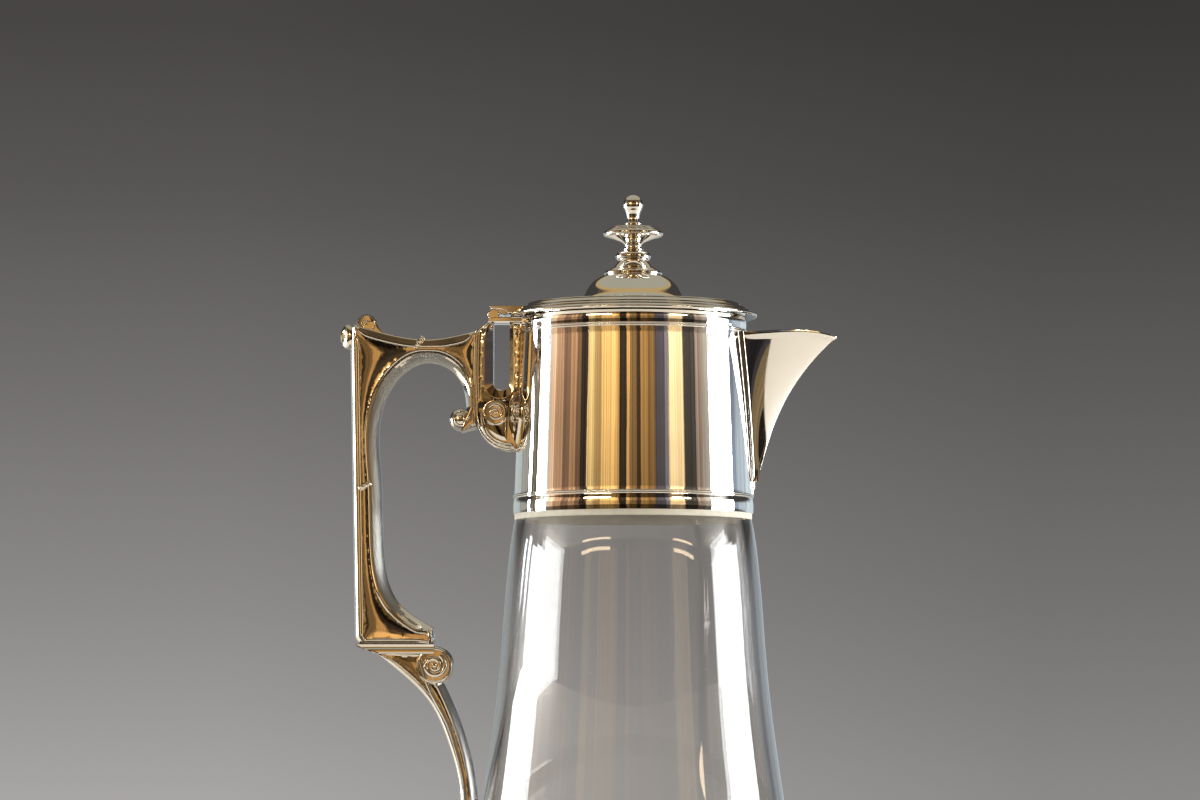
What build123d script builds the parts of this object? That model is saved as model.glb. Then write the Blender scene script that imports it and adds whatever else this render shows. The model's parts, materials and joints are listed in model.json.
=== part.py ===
from build123d import *
import os
from math import cos, radians, sin, sqrt

# Claret jug: a blown glass body, a silver-plated collar with a beak spout and a scrolled side
# handle, and a hinged lid with a turned finial.
# Millimetres, +Z up. The origin is on the table, at the centre of the foot ring.
# The handle points to -X and the spout to +X.

# ---------------------------------------------------------------- glass body
body_radius = 56.0            # widest, at the top of the heel
heel_radius = 13.0
foot_ring_width = 3.5
foot_recess = 1.0             # the underside inside the foot ring is cut back by this much
glass_wall = 3.0
glass_floor = 9.0
shoulder_height = 182.6       # where the collar starts
flank_drop = 84.5             # three stations of the flank, measured down from the shoulder
flank_flare = 9.7             # and out from its radius
waist_drop = 48.5
waist_flare = 5.0
upper_drop = 12.5
upper_flare = 2.05
neck_turn = 6.5               # height over which the shoulder turns into the neck
neck_length = 24.0            # from the shoulder to the glass rim
star_points = 16
star_radius = 34.0
star_depth = 1.3
star_half_width = 2.6

# ------------------------------------------------------------------- collar
collar_head_radius = 33.7
collar_flare = 2.2            # how much wider the collar's foot is
collar_height = 58.9
collar_wall = 0.9
shoulder_inset = 0.6          # glass at the shoulder, inside the collar's foot
cement_bead = 1.0             # cement that shows under the collar
cement_drop = 0.8             # how far it runs down the shoulder
cement_inset = 0.25
cement_gap = 2.9              # between the neck and the collar
seat_ring_width = 2.2
seat_ring_height = 2.0
reed_proud = 0.4
reed_height = 1.1
upper_reed_drop = 4.2         # reed centre below the collar's head
lower_reed_rise = 5.2         # reed centre above the collar's foot

# -------------------------------------------------------------------- spout
spout_reach = 29.3            # from the collar's side to the tip of the beak
spout_mouth = 20.4            # width where it leaves the collar, at the top
spout_wall = 0.9
spout_apex_rise = 3.5         # apex of the V above the lower reed
spout_nose = 0.8              # width of the beak at its foot
spout_keel_start = 1.6        # how far the keel stands off the collar at the apex
spout_keel_lean = 0.45        # share of the reach that the keel gains evenly, the rest curls out
spout_crown_place = 0.75      # the top edge is highest this far along the reach
spout_lip_rise = 1.0          # crown of the top edge above its ends
spout_tip_drop = 1.1
spout_flange_width = 1.1
spout_flange_thickness = 0.9
window_margin = 2.0           # metal left between the pouring window and the V

# ---------------------------------------------------------------------- lid
lid_gap = 0.3                 # air between the closed lid and its seat
lid_overhang = 3.5            # flange past the collar's head
lid_flange_thickness = 1.1
lid_step_width = 5.7          # from the flange edge to the raised top
lid_height = 4.0
lid_sheet = 1.0
bezel_clearance = 0.35
bezel_wall = 0.9
bezel_depth = 3.0
boss_foot_radius = 18.5
boss_neck_radius = 11.1
boss_height = 8.6
boss_sheet = 0.9

# ------------------------------------------------------------------- finial
finial_foot_radius = 8.7
finial_foot_height = 1.8
finial_step_radius = 6.5
finial_step_height = 1.2
finial_bead_radius = 5.25
finial_bead_height = 2.7
finial_waist_radius = 3.7
finial_waist_height = 2.0
finial_stem_radius = 2.85
finial_stem_height = 2.1
saucer_radius = 8.85
saucer_flare_height = 2.4
saucer_rim = 1.8
saucer_crown_radius = 3.4
saucer_crown_height = 1.5
knop_foot_radius = 2.4
knop_neck_radius = 1.5
knop_neck_height = 3.1
knop_radius = 3.0
stud_radius = 1.2
stud_end_in_knop = 2.0
nut_width = 5.0
nut_height = 2.0
washer_radius = 4.0
washer_thickness = 0.6

# -------------------------------------------------------------------- hinge
hinge_reach = 8.1             # pin axis outside the collar's head
hinge_rise = 0.9              # pin axis above the collar's head
hinge_width = 12.0
barrel_radius = 1.8
pin_radius = 0.8
pin_clearance = 0.05
barrel_gap = 0.3              # end play beside the middle barrel, and around the barrels
middle_barrel_width = 5.0
lid_leaf_rise = 2.7           # top of the lid leaf above the pin
lid_leaf_drop = 0.3
lid_leaf_end_angle = 107.0    # where the leaf's rounded end stops, counted from +X
base_leaf_drop = 2.2          # its underside below the pin

# ------------------------------------------------------------------- handle
handle_thickness = 11.0
edge_round = 2.0
panel_inset = 3.1             # from the edge of the handle to its sunk panel
panel_depth = 0.7
stirrup_reach = 13.4          # joint face of handle and stirrup, from the collar's head
grip_reach = 38.1             # outer side of the grip, from the joint face
grip_width = 9.5
grip_lean = 1.7               # how far in the foot of the grip stands
arch_width = 26.0             # the hand opening at the top
arch_drop = 13.3              # top of the hand opening below the collar's head
arch_haunch = 13.6            # height of the arch on the side of the joint
frame_drop = 100.9            # underside of the frame below the collar's head
frame_foot_length = 21.9      # flat underside of the frame
frame_end_height = 8.0        # the cut end at the foot of the hand opening
opening_bend_height = 23.0    # where the hand opening turns up into the grip, above its foot
opening_straight_height = 44.0
corner_chamfer = 3.2
top_drop = 3.9                # top of the handle at the joint, below the collar's head
top_sag = 2.6
joint_rib = 3.0               # metal between the arch and the joint face
corner_scroll_radius = 2.6
corner_scroll_inset = 5.5     # its centre, in from the grip's outer side
corner_scroll_drop = 1.6      # and below the collar's head
corner_knob_width = 2.2       # half sizes of the knob on the outer corner
corner_knob_height = 3.8
corner_knob_reach = 1.2       # its centre, out from the grip's outer side
corner_knob_drop = 5.0
curl_radius = 3.3
curl_reach = 4.6              # its centre, from the joint face
curl_drop = 30.3
lobe_drop = 34.3              # lowest point of the lobe under the curl
lobe_rise = 0.9               # how much higher the lobe meets the joint face
tie_length = 4.4
tie_width = 1.8
tie_proud = 0.6
arch_tie_drop = 1.0           # its centre, below the lowest point of the top edge
top_tie_tilt = 55.0           # from level, rising to the joint
grip_tie_tilt = 28.0

# ------------------------------------------------------------------ stirrup
stirrup_thickness = 10.0
stirrup_post = 4.3            # the outer post, beside the joint face
stirrup_window_width = 5.8
stirrup_window_drop = 22.0    # foot of the window below the collar's head
stirrup_depth = 40.0          # lowest point of the pendant below the collar's head
stirrup_round = 1.8
stirrup_scroll_radius = 3.8
stirrup_scroll_drop = 28.3
scroll_proud = 0.5
pad_half_width = 10.0
pad_thickness = 0.8
pad_top_drop = 22.0
pad_shoulder_drop = 29.0
pad_depth = 39.0

# --------------------------------------------------------------------- tail
tail_thickness = 9.4
tail_width = 6.0
tail_round = 1.7
tail_panel_inset = 2.5
elbow_outer_drop = 14.4       # bend of the tail's outer edge below the underside of the frame
elbow_inner_drop = 9.0
elbow_width = 4.5             # from the outer bend to the inner one, across
elbow_scroll_radius = 5.8
elbow_scroll_drop = 3.4       # its centre below the underside of the frame
girdle_height = 8.0
girdle_top_drop = 88.0        # top of the girdle band below the shoulder
girdle_wall = 1.2
girdle_bead = 0.5
saddle_half_width = 8.5
saddle_half_height = 5.6
saddle_thickness = 1.0
tail_air = 1.0                # between the tail and the glass above the saddle

# ------------------------------------------------------------ derived places
collar_foot_radius = collar_head_radius + collar_flare
shoulder_radius = collar_foot_radius - shoulder_inset
flank_radius = shoulder_radius + flank_flare
waist_radius = shoulder_radius + waist_flare
upper_radius = shoulder_radius + upper_flare
collar_foot_z = shoulder_height + cement_bead
collar_head_z = collar_foot_z + collar_height
neck_top_z = shoulder_height + neck_length
upper_reed_z = collar_head_z - upper_reed_drop
lower_reed_z = collar_foot_z + lower_reed_rise
spout_top_z = upper_reed_z - reed_height / 2
spout_apex_z = lower_reed_z + reed_height / 2 + spout_apex_rise
seat_inner_radius = collar_head_radius - collar_wall - seat_ring_width
lid_low_z = collar_head_z + lid_gap
lid_radius = collar_head_radius + lid_overhang
lid_top_z = lid_low_z + lid_height
boss_top_z = lid_top_z + boss_height
foot_top_z = boss_top_z + finial_foot_height + finial_step_height
bead_low_z = foot_top_z + finial_waist_height
bead_high_z = bead_low_z + finial_bead_height
stem_top_z = bead_high_z + finial_stem_height
saucer_top_z = stem_top_z + saucer_flare_height + saucer_rim + saucer_crown_height
knop_z = saucer_top_z + knop_neck_height + knop_radius
hinge_x = -(collar_head_radius + hinge_reach)
hinge_z = collar_head_z + hinge_rise
hinge_base_z = hinge_z - base_leaf_drop
joint_x = -(collar_head_radius + stirrup_reach)
frame_foot_z = collar_head_z - frame_drop
girdle_top_z = shoulder_height - girdle_top_drop
girdle_foot_z = girdle_top_z - girdle_height
girdle_z = (girdle_top_z + girdle_foot_z) / 2
flank_slope = (flank_radius - waist_radius) / (flank_drop - waist_drop)
girdle_seat_radius = flank_radius + flank_slope * (shoulder_height - flank_drop - girdle_z)
saddle_radius = girdle_seat_radius + girdle_wall + girdle_bead + saddle_thickness
nothing = 0.01                # laps a cutting tool past the face it cuts


def collar_radius(z):
    """Outer radius of the collar's cone at height z."""
    share = (z - collar_foot_z) / collar_height
    return collar_foot_radius + share * (collar_head_radius - collar_foot_radius)


neck_radius = collar_radius(neck_top_z) - collar_wall - cement_gap


def xz(shape):
    """Stand a flat shape, drawn with x across and y up, in the plane of the handle."""
    return Plane.XZ * shape


def turned(outline):
    """Solid of revolution from an outline of radius and height."""
    return revolve(xz(make_face(outline)), Axis.Z)


def ring(inner, outer, low, high):
    return turned(Polyline((inner, low), (outer, low), (outer, high), (inner, high), close=True))


def barrel(x, z, radius, width, y=0.0):
    """Cylinder along Y."""
    return Pos(x, y, z) * Rot(90, 0, 0) * Cylinder(radius, width)


def slab(outline, thickness):
    """Solid of even thickness about the plane of the handle."""
    return extrude(xz(make_face(outline)), thickness / 2, both=True)


# ---------------------------------------------------------------- glass body
def glass_side(inset, low_z):
    """Side of the glass from the heel to the neck, set in by inset."""
    flank = Spline(
        (body_radius - inset, low_z),
        (flank_radius - inset, shoulder_height - flank_drop),
        (waist_radius - inset, shoulder_height - waist_drop),
        (upper_radius - inset, shoulder_height - upper_drop),
        (shoulder_radius - inset, shoulder_height),
        tangents=[(0, 1), (-0.25, 1)],
    )
    turn = Spline(
        (shoulder_radius - inset, shoulder_height),
        (neck_radius - inset, shoulder_height + neck_turn),
        tangents=[(-0.25, 1), (0, 1)],
    )
    rise = Line((neck_radius - inset, shoulder_height + neck_turn), (neck_radius - inset, neck_top_z))
    return flank + turn + rise


def glass_outside(grow=0.0):
    """The glass filled to its axis, or a form that stands off it by grow."""
    heel_x = body_radius - heel_radius
    round_radius = heel_radius + grow
    outline = (
        Line((0, -grow), (heel_x, -grow))
        + CenterArc((heel_x, heel_radius), round_radius, -90, 90)
        + glass_side(-grow, heel_radius)
        + Polyline((neck_radius + grow, neck_top_z), (0, neck_top_z), (0, -grow))
    )
    return turned(outline)


def glass_inside():
    """The wine's space, open at the neck."""
    inner_heel = heel_radius - glass_wall
    heel_x = body_radius - heel_radius
    low_z = glass_floor + inner_heel
    outline = (
        Line((0, glass_floor), (heel_x, glass_floor))
        + CenterArc((heel_x, low_z), inner_heel, -90, 90)
        + glass_side(glass_wall, low_z)
        + Polyline((neck_radius - glass_wall, neck_top_z), (0, neck_top_z), (0, glass_floor))
    )
    return turned(outline)


def star_cut():
    """V grooves across the underside, which meet in a star."""
    groove = Polyline((-star_half_width, -nothing), (star_half_width, -nothing), (0, star_depth),
                      close=True)
    blade = extrude(Plane.YZ * make_face(groove), star_radius, both=True)
    blade = Pos(0, 0, foot_recess) * blade
    return [Rot(0, 0, i * 360 / star_points) * blade for i in range(star_points // 2)]


def glass_body():
    recess_radius = body_radius - heel_radius - foot_ring_width
    vessel = glass_outside() - glass_inside()
    vessel -= ring(0, recess_radius, -nothing, foot_recess)
    for groove in star_cut():
        vessel -= groove
    return vessel


# ------------------------------------------------------------------- collar
def cone_band(proud, low, high, inner=0.0):
    """Band on the collar's cone, from inner (0 for filled) to proud of its surface."""
    low_in = inner and collar_radius(low) - inner
    high_in = inner and collar_radius(high) - inner
    return turned(Polyline(
        (low_in, low), (collar_radius(low) + proud, low),
        (collar_radius(high) + proud, high), (high_in, high), close=True))


def collar_filled(proud=0.0):
    return cone_band(proud, collar_foot_z, collar_head_z)


def spout_half_width(z):
    """Half the width of the V on the collar at height z."""
    share = (z - spout_apex_z) / (spout_top_z - spout_apex_z)
    return spout_mouth / 2 * share


def pouring_window():
    """Triangular window in the collar, inside the V and above the glass rim."""
    low_z = neck_top_z + window_margin
    high_z = spout_top_z - window_margin
    low_y = spout_half_width(low_z) - window_margin / 2
    high_y = spout_half_width(high_z) - window_margin / 2
    outline = Polyline((-low_y, low_z), (low_y, low_z), (high_y, high_z), (-high_y, high_z),
                       close=True)
    return extrude(Plane.YZ * make_face(outline), collar_foot_radius + spout_reach)


def collar_sleeve():
    sleeve = cone_band(0, collar_foot_z, collar_head_z, inner=collar_wall)
    return sleeve - pouring_window()


def neck_cement():
    """Plaster that fixes the collar on the neck."""
    low_z = shoulder_height - cement_drop
    bead_radius = collar_foot_radius - cement_inset
    inner = neck_radius - nothing
    filling = turned(Polyline(
        (inner, low_z), (bead_radius, low_z), (bead_radius, collar_foot_z),
        (collar_foot_radius - collar_wall, collar_foot_z),
        (collar_radius(neck_top_z) - collar_wall, neck_top_z), (inner, neck_top_z), close=True))
    return filling - glass_outside()


def collar_seat_ring():
    """Ledge inside the collar's head, which the lid's bezel drops into."""
    low_z = collar_head_z - seat_ring_height
    return turned(Polyline(
        (seat_inner_radius, low_z), (collar_radius(low_z) - collar_wall, low_z),
        (collar_radius(collar_head_z) - collar_wall, collar_head_z),
        (seat_inner_radius, collar_head_z), close=True))


def reed(centre_z):
    low = centre_z - reed_height / 2
    high = centre_z + reed_height / 2
    outline = (
        Line((collar_radius(high), high), (collar_radius(low), low))
        + ThreePointArc((collar_radius(low), low), (collar_radius(centre_z) + reed_proud, centre_z),
                        (collar_radius(high), high))
    )
    return turned(outline)


# -------------------------------------------------------------------- spout
def keel_x(z):
    """Distance of the beak's keel from the axis at height z, a hollow curve."""
    rise = (z - spout_apex_z) / (spout_top_z - spout_apex_z)
    start = collar_radius(spout_apex_z) + spout_keel_start
    tip = collar_head_radius + spout_reach
    return start + (tip - start) * (spout_keel_lean * rise + (1 - spout_keel_lean) * rise ** 3)


def spout_section(z, grow):
    """Level section of the beak, from inside the collar out to the keel."""
    half_width = spout_half_width(z) + grow
    side_x = sqrt(collar_radius(z) ** 2 - spout_half_width(z) ** 2)
    back_x = side_x - spout_mouth / 2
    nose_x = keel_x(z) + grow
    middle = ((side_x + nose_x) / 2, 0.58 * half_width)
    outline = (
        Polyline((side_x, -half_width), (back_x, -half_width), (back_x, half_width),
                 (side_x, half_width))
        + Spline((side_x, half_width), middle, (nose_x, 0), (middle[0], -middle[1]),
                 (side_x, -half_width))
    )
    return Pos(0, 0, z) * make_face(outline)


def spout_foot_z(grow):
    """Height at which the form of the beak starts, where it is still spout_nose wide."""
    return spout_apex_z + (spout_nose / 2 - grow) / (spout_mouth / 2) * (spout_top_z - spout_apex_z)


def spout_form(grow):
    """The beak as a filled form, grown by a distance, or shrunk by a negative one."""
    top_z = spout_top_z + 2 * spout_lip_rise
    low_z = spout_foot_z(grow)
    return loft([spout_section(low_z + share * (top_z - low_z), grow)
                 for share in (0, 0.2, 0.4, 0.6, 0.8, 1)])


def above_spout():
    """Everything over the beak's top edge."""
    tip_x = collar_head_radius + spout_reach
    crown_x = collar_head_radius + spout_crown_place * spout_reach
    far_x = tip_x + spout_reach
    far_z = spout_top_z + spout_reach
    edge = Spline((0, spout_top_z), (collar_head_radius, spout_top_z),
                  (crown_x, spout_top_z + spout_lip_rise), (tip_x, spout_top_z - spout_tip_drop))
    outline = edge + Polyline((tip_x, spout_top_z - spout_tip_drop),
                              (far_x, spout_top_z - spout_tip_drop), (far_x, far_z), (0, far_z),
                              (0, spout_top_z))
    return slab(outline, 2 * spout_mouth)


def spout_beak():
    return spout_form(0) - spout_form(-spout_wall) - collar_filled() - above_spout()


def spout_flange():
    """Raised edge along the V, where the beak is soldered to the collar."""
    low_z = lower_reed_z + reed_height / 2
    band = cone_band(spout_flange_thickness, low_z, spout_top_z, inner=nothing)
    band += cone_band(spout_keel_start + spout_flange_width, low_z, spout_foot_z(0), inner=nothing)
    band &= spout_form(spout_flange_width)
    return band - collar_filled() - spout_form(0)


# ---------------------------------------------------------------------- lid
def lid_plate():
    """Spun lid: a flange, a sloping step and a flat top."""
    edge_r = lid_flange_thickness / 2
    flange_top = lid_low_z + lid_flange_thickness
    step_radius = lid_radius - lid_step_width
    inside = step_radius - lid_sheet
    outline = (
        Polyline((0, lid_top_z - lid_sheet), (inside, lid_top_z - lid_sheet), (inside, lid_low_z),
                 (lid_radius - edge_r, lid_low_z))
        + ThreePointArc((lid_radius - edge_r, lid_low_z), (lid_radius, lid_low_z + edge_r),
                        (lid_radius - edge_r, flange_top))
        + Spline((lid_radius - edge_r, flange_top),
                 (step_radius + lid_step_width / 2, flange_top + lid_sheet),
                 (step_radius, lid_top_z - lid_sheet / 2))
        + Polyline((step_radius, lid_top_z - lid_sheet / 2), (inside, lid_top_z), (0, lid_top_z),
                   (0, lid_top_z - lid_sheet))
    )
    return turned(outline) - ring(0, stud_radius, lid_low_z, lid_top_z + nothing)


def lid_bezel():
    outer = seat_inner_radius - bezel_clearance
    return ring(outer - bezel_wall, outer, collar_head_z - bezel_depth, lid_top_z - lid_sheet)


def lid_boss():
    """Bell-shaped rise that carries the finial."""
    middle_radius = boss_neck_radius + 0.3 * (boss_foot_radius - boss_neck_radius)
    low = (boss_foot_radius, lid_top_z)
    foot_in = (boss_foot_radius - 2 * boss_sheet, lid_top_z)
    neck_in = (boss_neck_radius - boss_sheet, boss_top_z - boss_sheet)
    shell = (
        Spline(low, (middle_radius, lid_top_z + 0.38 * boss_height), (boss_neck_radius, boss_top_z),
               tangents=[(-1.0, 0.45), (-0.2, 1)])
        + Polyline((boss_neck_radius, boss_top_z), (stud_radius, boss_top_z),
                   (stud_radius, boss_top_z - boss_sheet), neck_in)
        + Spline(neck_in, (boss_neck_radius + boss_sheet, lid_top_z + 0.3 * boss_height), foot_in)
        + Line(foot_in, low)
    )
    return turned(shell)


# ------------------------------------------------------------------- finial
def finial_foot():
    """Moulded foot, bead and stem of the finial, turned in one."""
    ring_top = boss_top_z + finial_foot_height
    bead_low = bead_low_z
    bead_high = bead_high_z
    bead_in = finial_bead_radius - finial_bead_height / 2
    outline = (
        Line((stud_radius, boss_top_z), (finial_foot_radius - finial_foot_height / 2, boss_top_z))
        + ThreePointArc((finial_foot_radius - finial_foot_height / 2, boss_top_z),
                        (finial_foot_radius, boss_top_z + finial_foot_height / 2),
                        (finial_foot_radius - finial_foot_height / 2, ring_top))
        + Polyline((finial_foot_radius - finial_foot_height / 2, ring_top),
                   (finial_step_radius, ring_top), (finial_step_radius, foot_top_z))
        + Spline((finial_step_radius, foot_top_z),
                 (finial_waist_radius, bead_low - finial_waist_height / 3), (bead_in, bead_low))
        + ThreePointArc((bead_in, bead_low),
                        (finial_bead_radius, bead_low + finial_bead_height / 2),
                        (bead_in, bead_high))
        + Polyline((bead_in, bead_high), (finial_stem_radius, bead_high),
                   (finial_stem_radius, stem_top_z), (stud_radius, stem_top_z),
                   (stud_radius, boss_top_z))
    )
    return turned(outline)


def finial_saucer():
    rim_low = stem_top_z + saucer_flare_height
    rim_high = rim_low + saucer_rim
    shoulder = saucer_radius - saucer_rim
    outline = (
        Line((stud_radius, stem_top_z), (finial_stem_radius, stem_top_z))
        + Spline((finial_stem_radius, stem_top_z),
                 (0.5 * (finial_stem_radius + saucer_radius), rim_low - 0.35 * saucer_flare_height),
                 (saucer_radius - saucer_rim / 2, rim_low), tangents=[(0.2, 1), (1, 0.4)])
        + ThreePointArc((saucer_radius - saucer_rim / 2, rim_low),
                        (saucer_radius, rim_low + saucer_rim / 2),
                        (saucer_radius - saucer_rim / 2, rim_high))
        + Line((saucer_radius - saucer_rim / 2, rim_high), (shoulder, rim_high))
        + Spline((shoulder, rim_high), (saucer_crown_radius + 1.2, saucer_top_z - 0.5),
                 (saucer_crown_radius, saucer_top_z))
        + Polyline((saucer_crown_radius, saucer_top_z), (stud_radius, saucer_top_z),
                   (stud_radius, stem_top_z))
    )
    return turned(outline)


def finial_knop():
    """Ball on a short neck, blind-drilled for the stud."""
    join_z = knop_z - sqrt(knop_radius ** 2 - knop_neck_radius ** 2)
    outline = (
        Line((0, saucer_top_z), (knop_foot_radius, saucer_top_z))
        + Spline((knop_foot_radius, saucer_top_z), (knop_neck_radius, (saucer_top_z + join_z) / 2),
                 (knop_neck_radius, join_z), tangents=[(-0.5, 1), (0, 1)])
        + ThreePointArc((knop_neck_radius, join_z), (knop_radius, knop_z), (0, knop_z + knop_radius))
        + Line((0, knop_z + knop_radius), (0, saucer_top_z))
    )
    return turned(outline) - ring(0, stud_radius, saucer_top_z - nothing,
                                  saucer_top_z + stud_end_in_knop)


def washer_low_z():
    return lid_top_z - lid_sheet - washer_thickness


def finial_stud():
    """Threaded rod from the nut up into the knop."""
    return ring(0, stud_radius, washer_low_z() - nut_height - stud_radius / 2,
                saucer_top_z + stud_end_in_knop)


def finial_washer():
    return ring(stud_radius, washer_radius, washer_low_z(), washer_low_z() + washer_thickness)


def finial_nut():
    hexagon = RegularPolygon(nut_width / 2, 6, major_radius=False) - Circle(stud_radius)
    return Pos(0, 0, washer_low_z() - nut_height) * extrude(hexagon, nut_height)


# -------------------------------------------------------------------- hinge
def outer_barrel_width():
    return (hinge_width - middle_barrel_width) / 2 - barrel_gap


def outer_barrels(radius):
    offset_y = hinge_width / 2 - outer_barrel_width() / 2
    return [barrel(hinge_x, hinge_z, radius, outer_barrel_width(), side * offset_y)
            for side in (-1, 1)]


def hinge_base():
    """Lower leaf, which carries the two outer barrels."""
    thickness = collar_head_z - hinge_base_z
    length = barrel_radius - hinge_x
    leaf = Pos(-length / 2, 0, hinge_base_z + thickness / 2) * Box(length, hinge_width, thickness)
    leaf -= barrel(hinge_x, hinge_z, lid_leaf_rise + barrel_gap, middle_barrel_width + 2 * barrel_gap)
    for piece in outer_barrels(barrel_radius):
        leaf += piece
    leaf -= barrel(hinge_x, hinge_z, pin_radius, hinge_width + 1)
    return leaf - collar_filled()


def hinge_pin():
    return barrel(hinge_x, hinge_z, pin_radius, hinge_width)


def lid_leaf():
    """Upper leaf, on the lid's flange, with the middle barrel."""
    end = radians(lid_leaf_end_angle)
    half = radians((lid_leaf_end_angle + 90) / 2)
    top_z = hinge_z + lid_leaf_rise
    low_z = hinge_z - lid_leaf_drop
    outline = (
        Line((hinge_x, hinge_z), (hinge_x + lid_leaf_rise * cos(end), hinge_z + lid_leaf_rise * sin(end)))
        + ThreePointArc((hinge_x + lid_leaf_rise * cos(end), hinge_z + lid_leaf_rise * sin(end)),
                        (hinge_x + lid_leaf_rise * cos(half), hinge_z + lid_leaf_rise * sin(half)),
                        (hinge_x, top_z))
        + Polyline((hinge_x, top_z), (0, top_z), (0, low_z), (hinge_x + barrel_radius, low_z),
                   (hinge_x, hinge_z))
    )
    leaf = slab(outline, hinge_width)
    room = barrel_radius + barrel_gap
    side_width = (hinge_width - middle_barrel_width) / 2
    side_y = (hinge_width - side_width) / 2
    for side in (-1, 1):
        leaf -= barrel(hinge_x, hinge_z, room, side_width + nothing, side * (side_y + nothing / 2))
    leaf += barrel(hinge_x, hinge_z, barrel_radius, middle_barrel_width)
    leaf -= barrel(hinge_x, hinge_z, pin_radius + pin_clearance, hinge_width)
    lid_inside = lid_radius - lid_step_width - lid_sheet
    return leaf - lid_plate() - ring(0, lid_inside, lid_low_z - 1, lid_top_z + 1)


# ------------------------------------------------------------------- handle
def at(reach, drop):
    """A point of the handle: reach out from the joint face, drop below the collar's head."""
    return (joint_x - reach, collar_head_z - drop)


def softened(solid, thickness, radius, is_joint):
    """Round the rims of both faces of a slab, except the rims that lie on a joint."""
    rims = [edge for face in solid.faces().filter_by(Axis.Y)
            if abs(abs(face.center().Y) - thickness / 2) < nothing
            for edge in face.edges() if not is_joint(edge.center())]
    return fillet(rims, radius)


def redrawn(edge, points=9):
    """An offset edge as a line or as a spline of its own."""
    if edge.geom_type == GeomType.LINE:
        return Line(edge @ 0, edge @ 1)
    return Spline(*[edge @ (i / (points - 1)) for i in range(points)],
                  tangents=[edge % 0, edge % 1])


def sunk_panels(outline, inset, thickness):
    """Panels that follow an outline, sunk into both faces of a slab. A tight waist parts them."""
    middle_y = (thickness - panel_depth) / 2
    panels = []
    for field in offset(make_face(outline), -inset).faces():
        rim = [redrawn(edge) for edge in field.outer_wire().edges()]
        panel = extrude(xz(make_face(rim)), panel_depth / 2, both=True)
        panels += [Pos(0, side * middle_y, 0) * panel for side in (-1, 1)]
    return panels


def scroll(centre, radius, width):
    """Rolled end of a scroll, seen end-on from the side of the jug."""
    roll = barrel(centre[0], centre[1], radius, width)
    return fillet(roll.edges().filter_by(GeomType.CIRCLE), radius / 4)


def frame_outline():
    left = grip_reach - grip_width
    foot = frame_drop - frame_end_height
    foot_reach = grip_reach - grip_lean
    corner = at(grip_reach - corner_chamfer / 3, top_drop / 2)
    cut_end = at(foot_reach - frame_foot_length - 1.8, foot)
    haunch = arch_drop + arch_haunch
    top = Spline(at(0, top_drop), at(0.37 * grip_reach, top_drop + top_sag),
                 at(0.76 * grip_reach, top_drop + 0.1 * top_sag), corner)
    back = Polyline(
        corner, at(grip_reach, top_drop + corner_chamfer), at(foot_reach, frame_drop - corner_chamfer),
        at(foot_reach - corner_chamfer, frame_drop), at(foot_reach - frame_foot_length, frame_drop),
        at(foot_reach - frame_foot_length - 3.0, foot + 0.6 * frame_end_height), cut_end)
    hand_opening = Spline(
        cut_end,
        at(left - 4.6, foot - 8.5),
        at(left - 0.8, foot - opening_bend_height),
        at(left, foot - opening_straight_height),
        at(left - 1.8, arch_drop + 10),
        at(joint_rib + arch_width / 2 - 0.5, arch_drop),
        at(joint_rib + 5.0, arch_drop + 0.155 * arch_haunch),
        at(joint_rib + 1.2, arch_drop + 0.52 * arch_haunch),
        at(joint_rib, haunch),
    )
    lobe = Polyline(at(joint_rib, haunch), at(curl_reach, curl_drop), at(curl_reach, lobe_drop),
                    at(0, lobe_drop - lobe_rise), at(0, top_drop))
    return top + back + hand_opening + lobe


def is_frame_joint(point):
    return point.X > joint_x - nothing or point.Z < frame_foot_z + nothing


def handle_frame():
    """Arch, grip and foot of the handle, cast in one with its scrolls."""
    frame = softened(slab(frame_outline(), handle_thickness), handle_thickness, edge_round,
                     is_frame_joint)
    for panel in sunk_panels(frame_outline(), panel_inset, handle_thickness):
        frame -= panel
    frame += scroll(at(grip_reach - corner_scroll_inset, corner_scroll_drop),
                    corner_scroll_radius, handle_thickness)
    knob = Pos(*at(grip_reach + corner_knob_reach, corner_knob_drop)) \
        * Ellipse(corner_knob_width, corner_knob_height)
    frame += extrude(xz(knob), handle_thickness / 2 - edge_round / 2, both=True)
    return frame + scroll(at(curl_reach, curl_drop), curl_radius, handle_thickness)


def handle_ties():
    """Four small bands across the borders: on the arch and half-way down the grip, both sides."""
    places = [
        (at(0.45 * grip_reach, top_drop + top_sag + arch_tie_drop), top_tie_tilt),
        (at(grip_reach - grip_width / 2, frame_drop / 2), grip_tie_tilt),
    ]
    middle_y = (handle_thickness + tie_proud) / 2
    return Part() + [
        Pos(place[0], side * middle_y, place[1]) * Rot(0, -tilt, 0)
        * Box(tie_length, tie_proud, tie_width)
        for place, tilt in places for side in (-1, 1)]


# ------------------------------------------------------------------ stirrup
def collar_pad():
    """Shield-shaped saddle soldered to the collar behind the stirrup."""
    top_z = collar_head_z - pad_top_drop
    shoulder_z = collar_head_z - pad_shoulder_drop
    point = (0, collar_head_z - pad_depth)
    side = [(0.6 * pad_half_width, top_z), (pad_half_width, shoulder_z),
            (0.62 * pad_half_width, (shoulder_z + point[1]) / 2)]
    outline = (
        Spline(*side, point)
        + Spline(point, *[(-y, z) for y, z in reversed(side)])
        + Line((-side[0][0], top_z), side[0])
    )
    shield = extrude(Plane.YZ * make_face(outline), -2 * collar_foot_radius)
    return shield & cone_band(pad_thickness, collar_foot_z, collar_head_z, inner=nothing) \
        - collar_filled()


def is_stirrup_joint(point):
    return (point.X < joint_x + nothing or point.Z > hinge_base_z - nothing
            or point.X > -collar_foot_radius)


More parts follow.
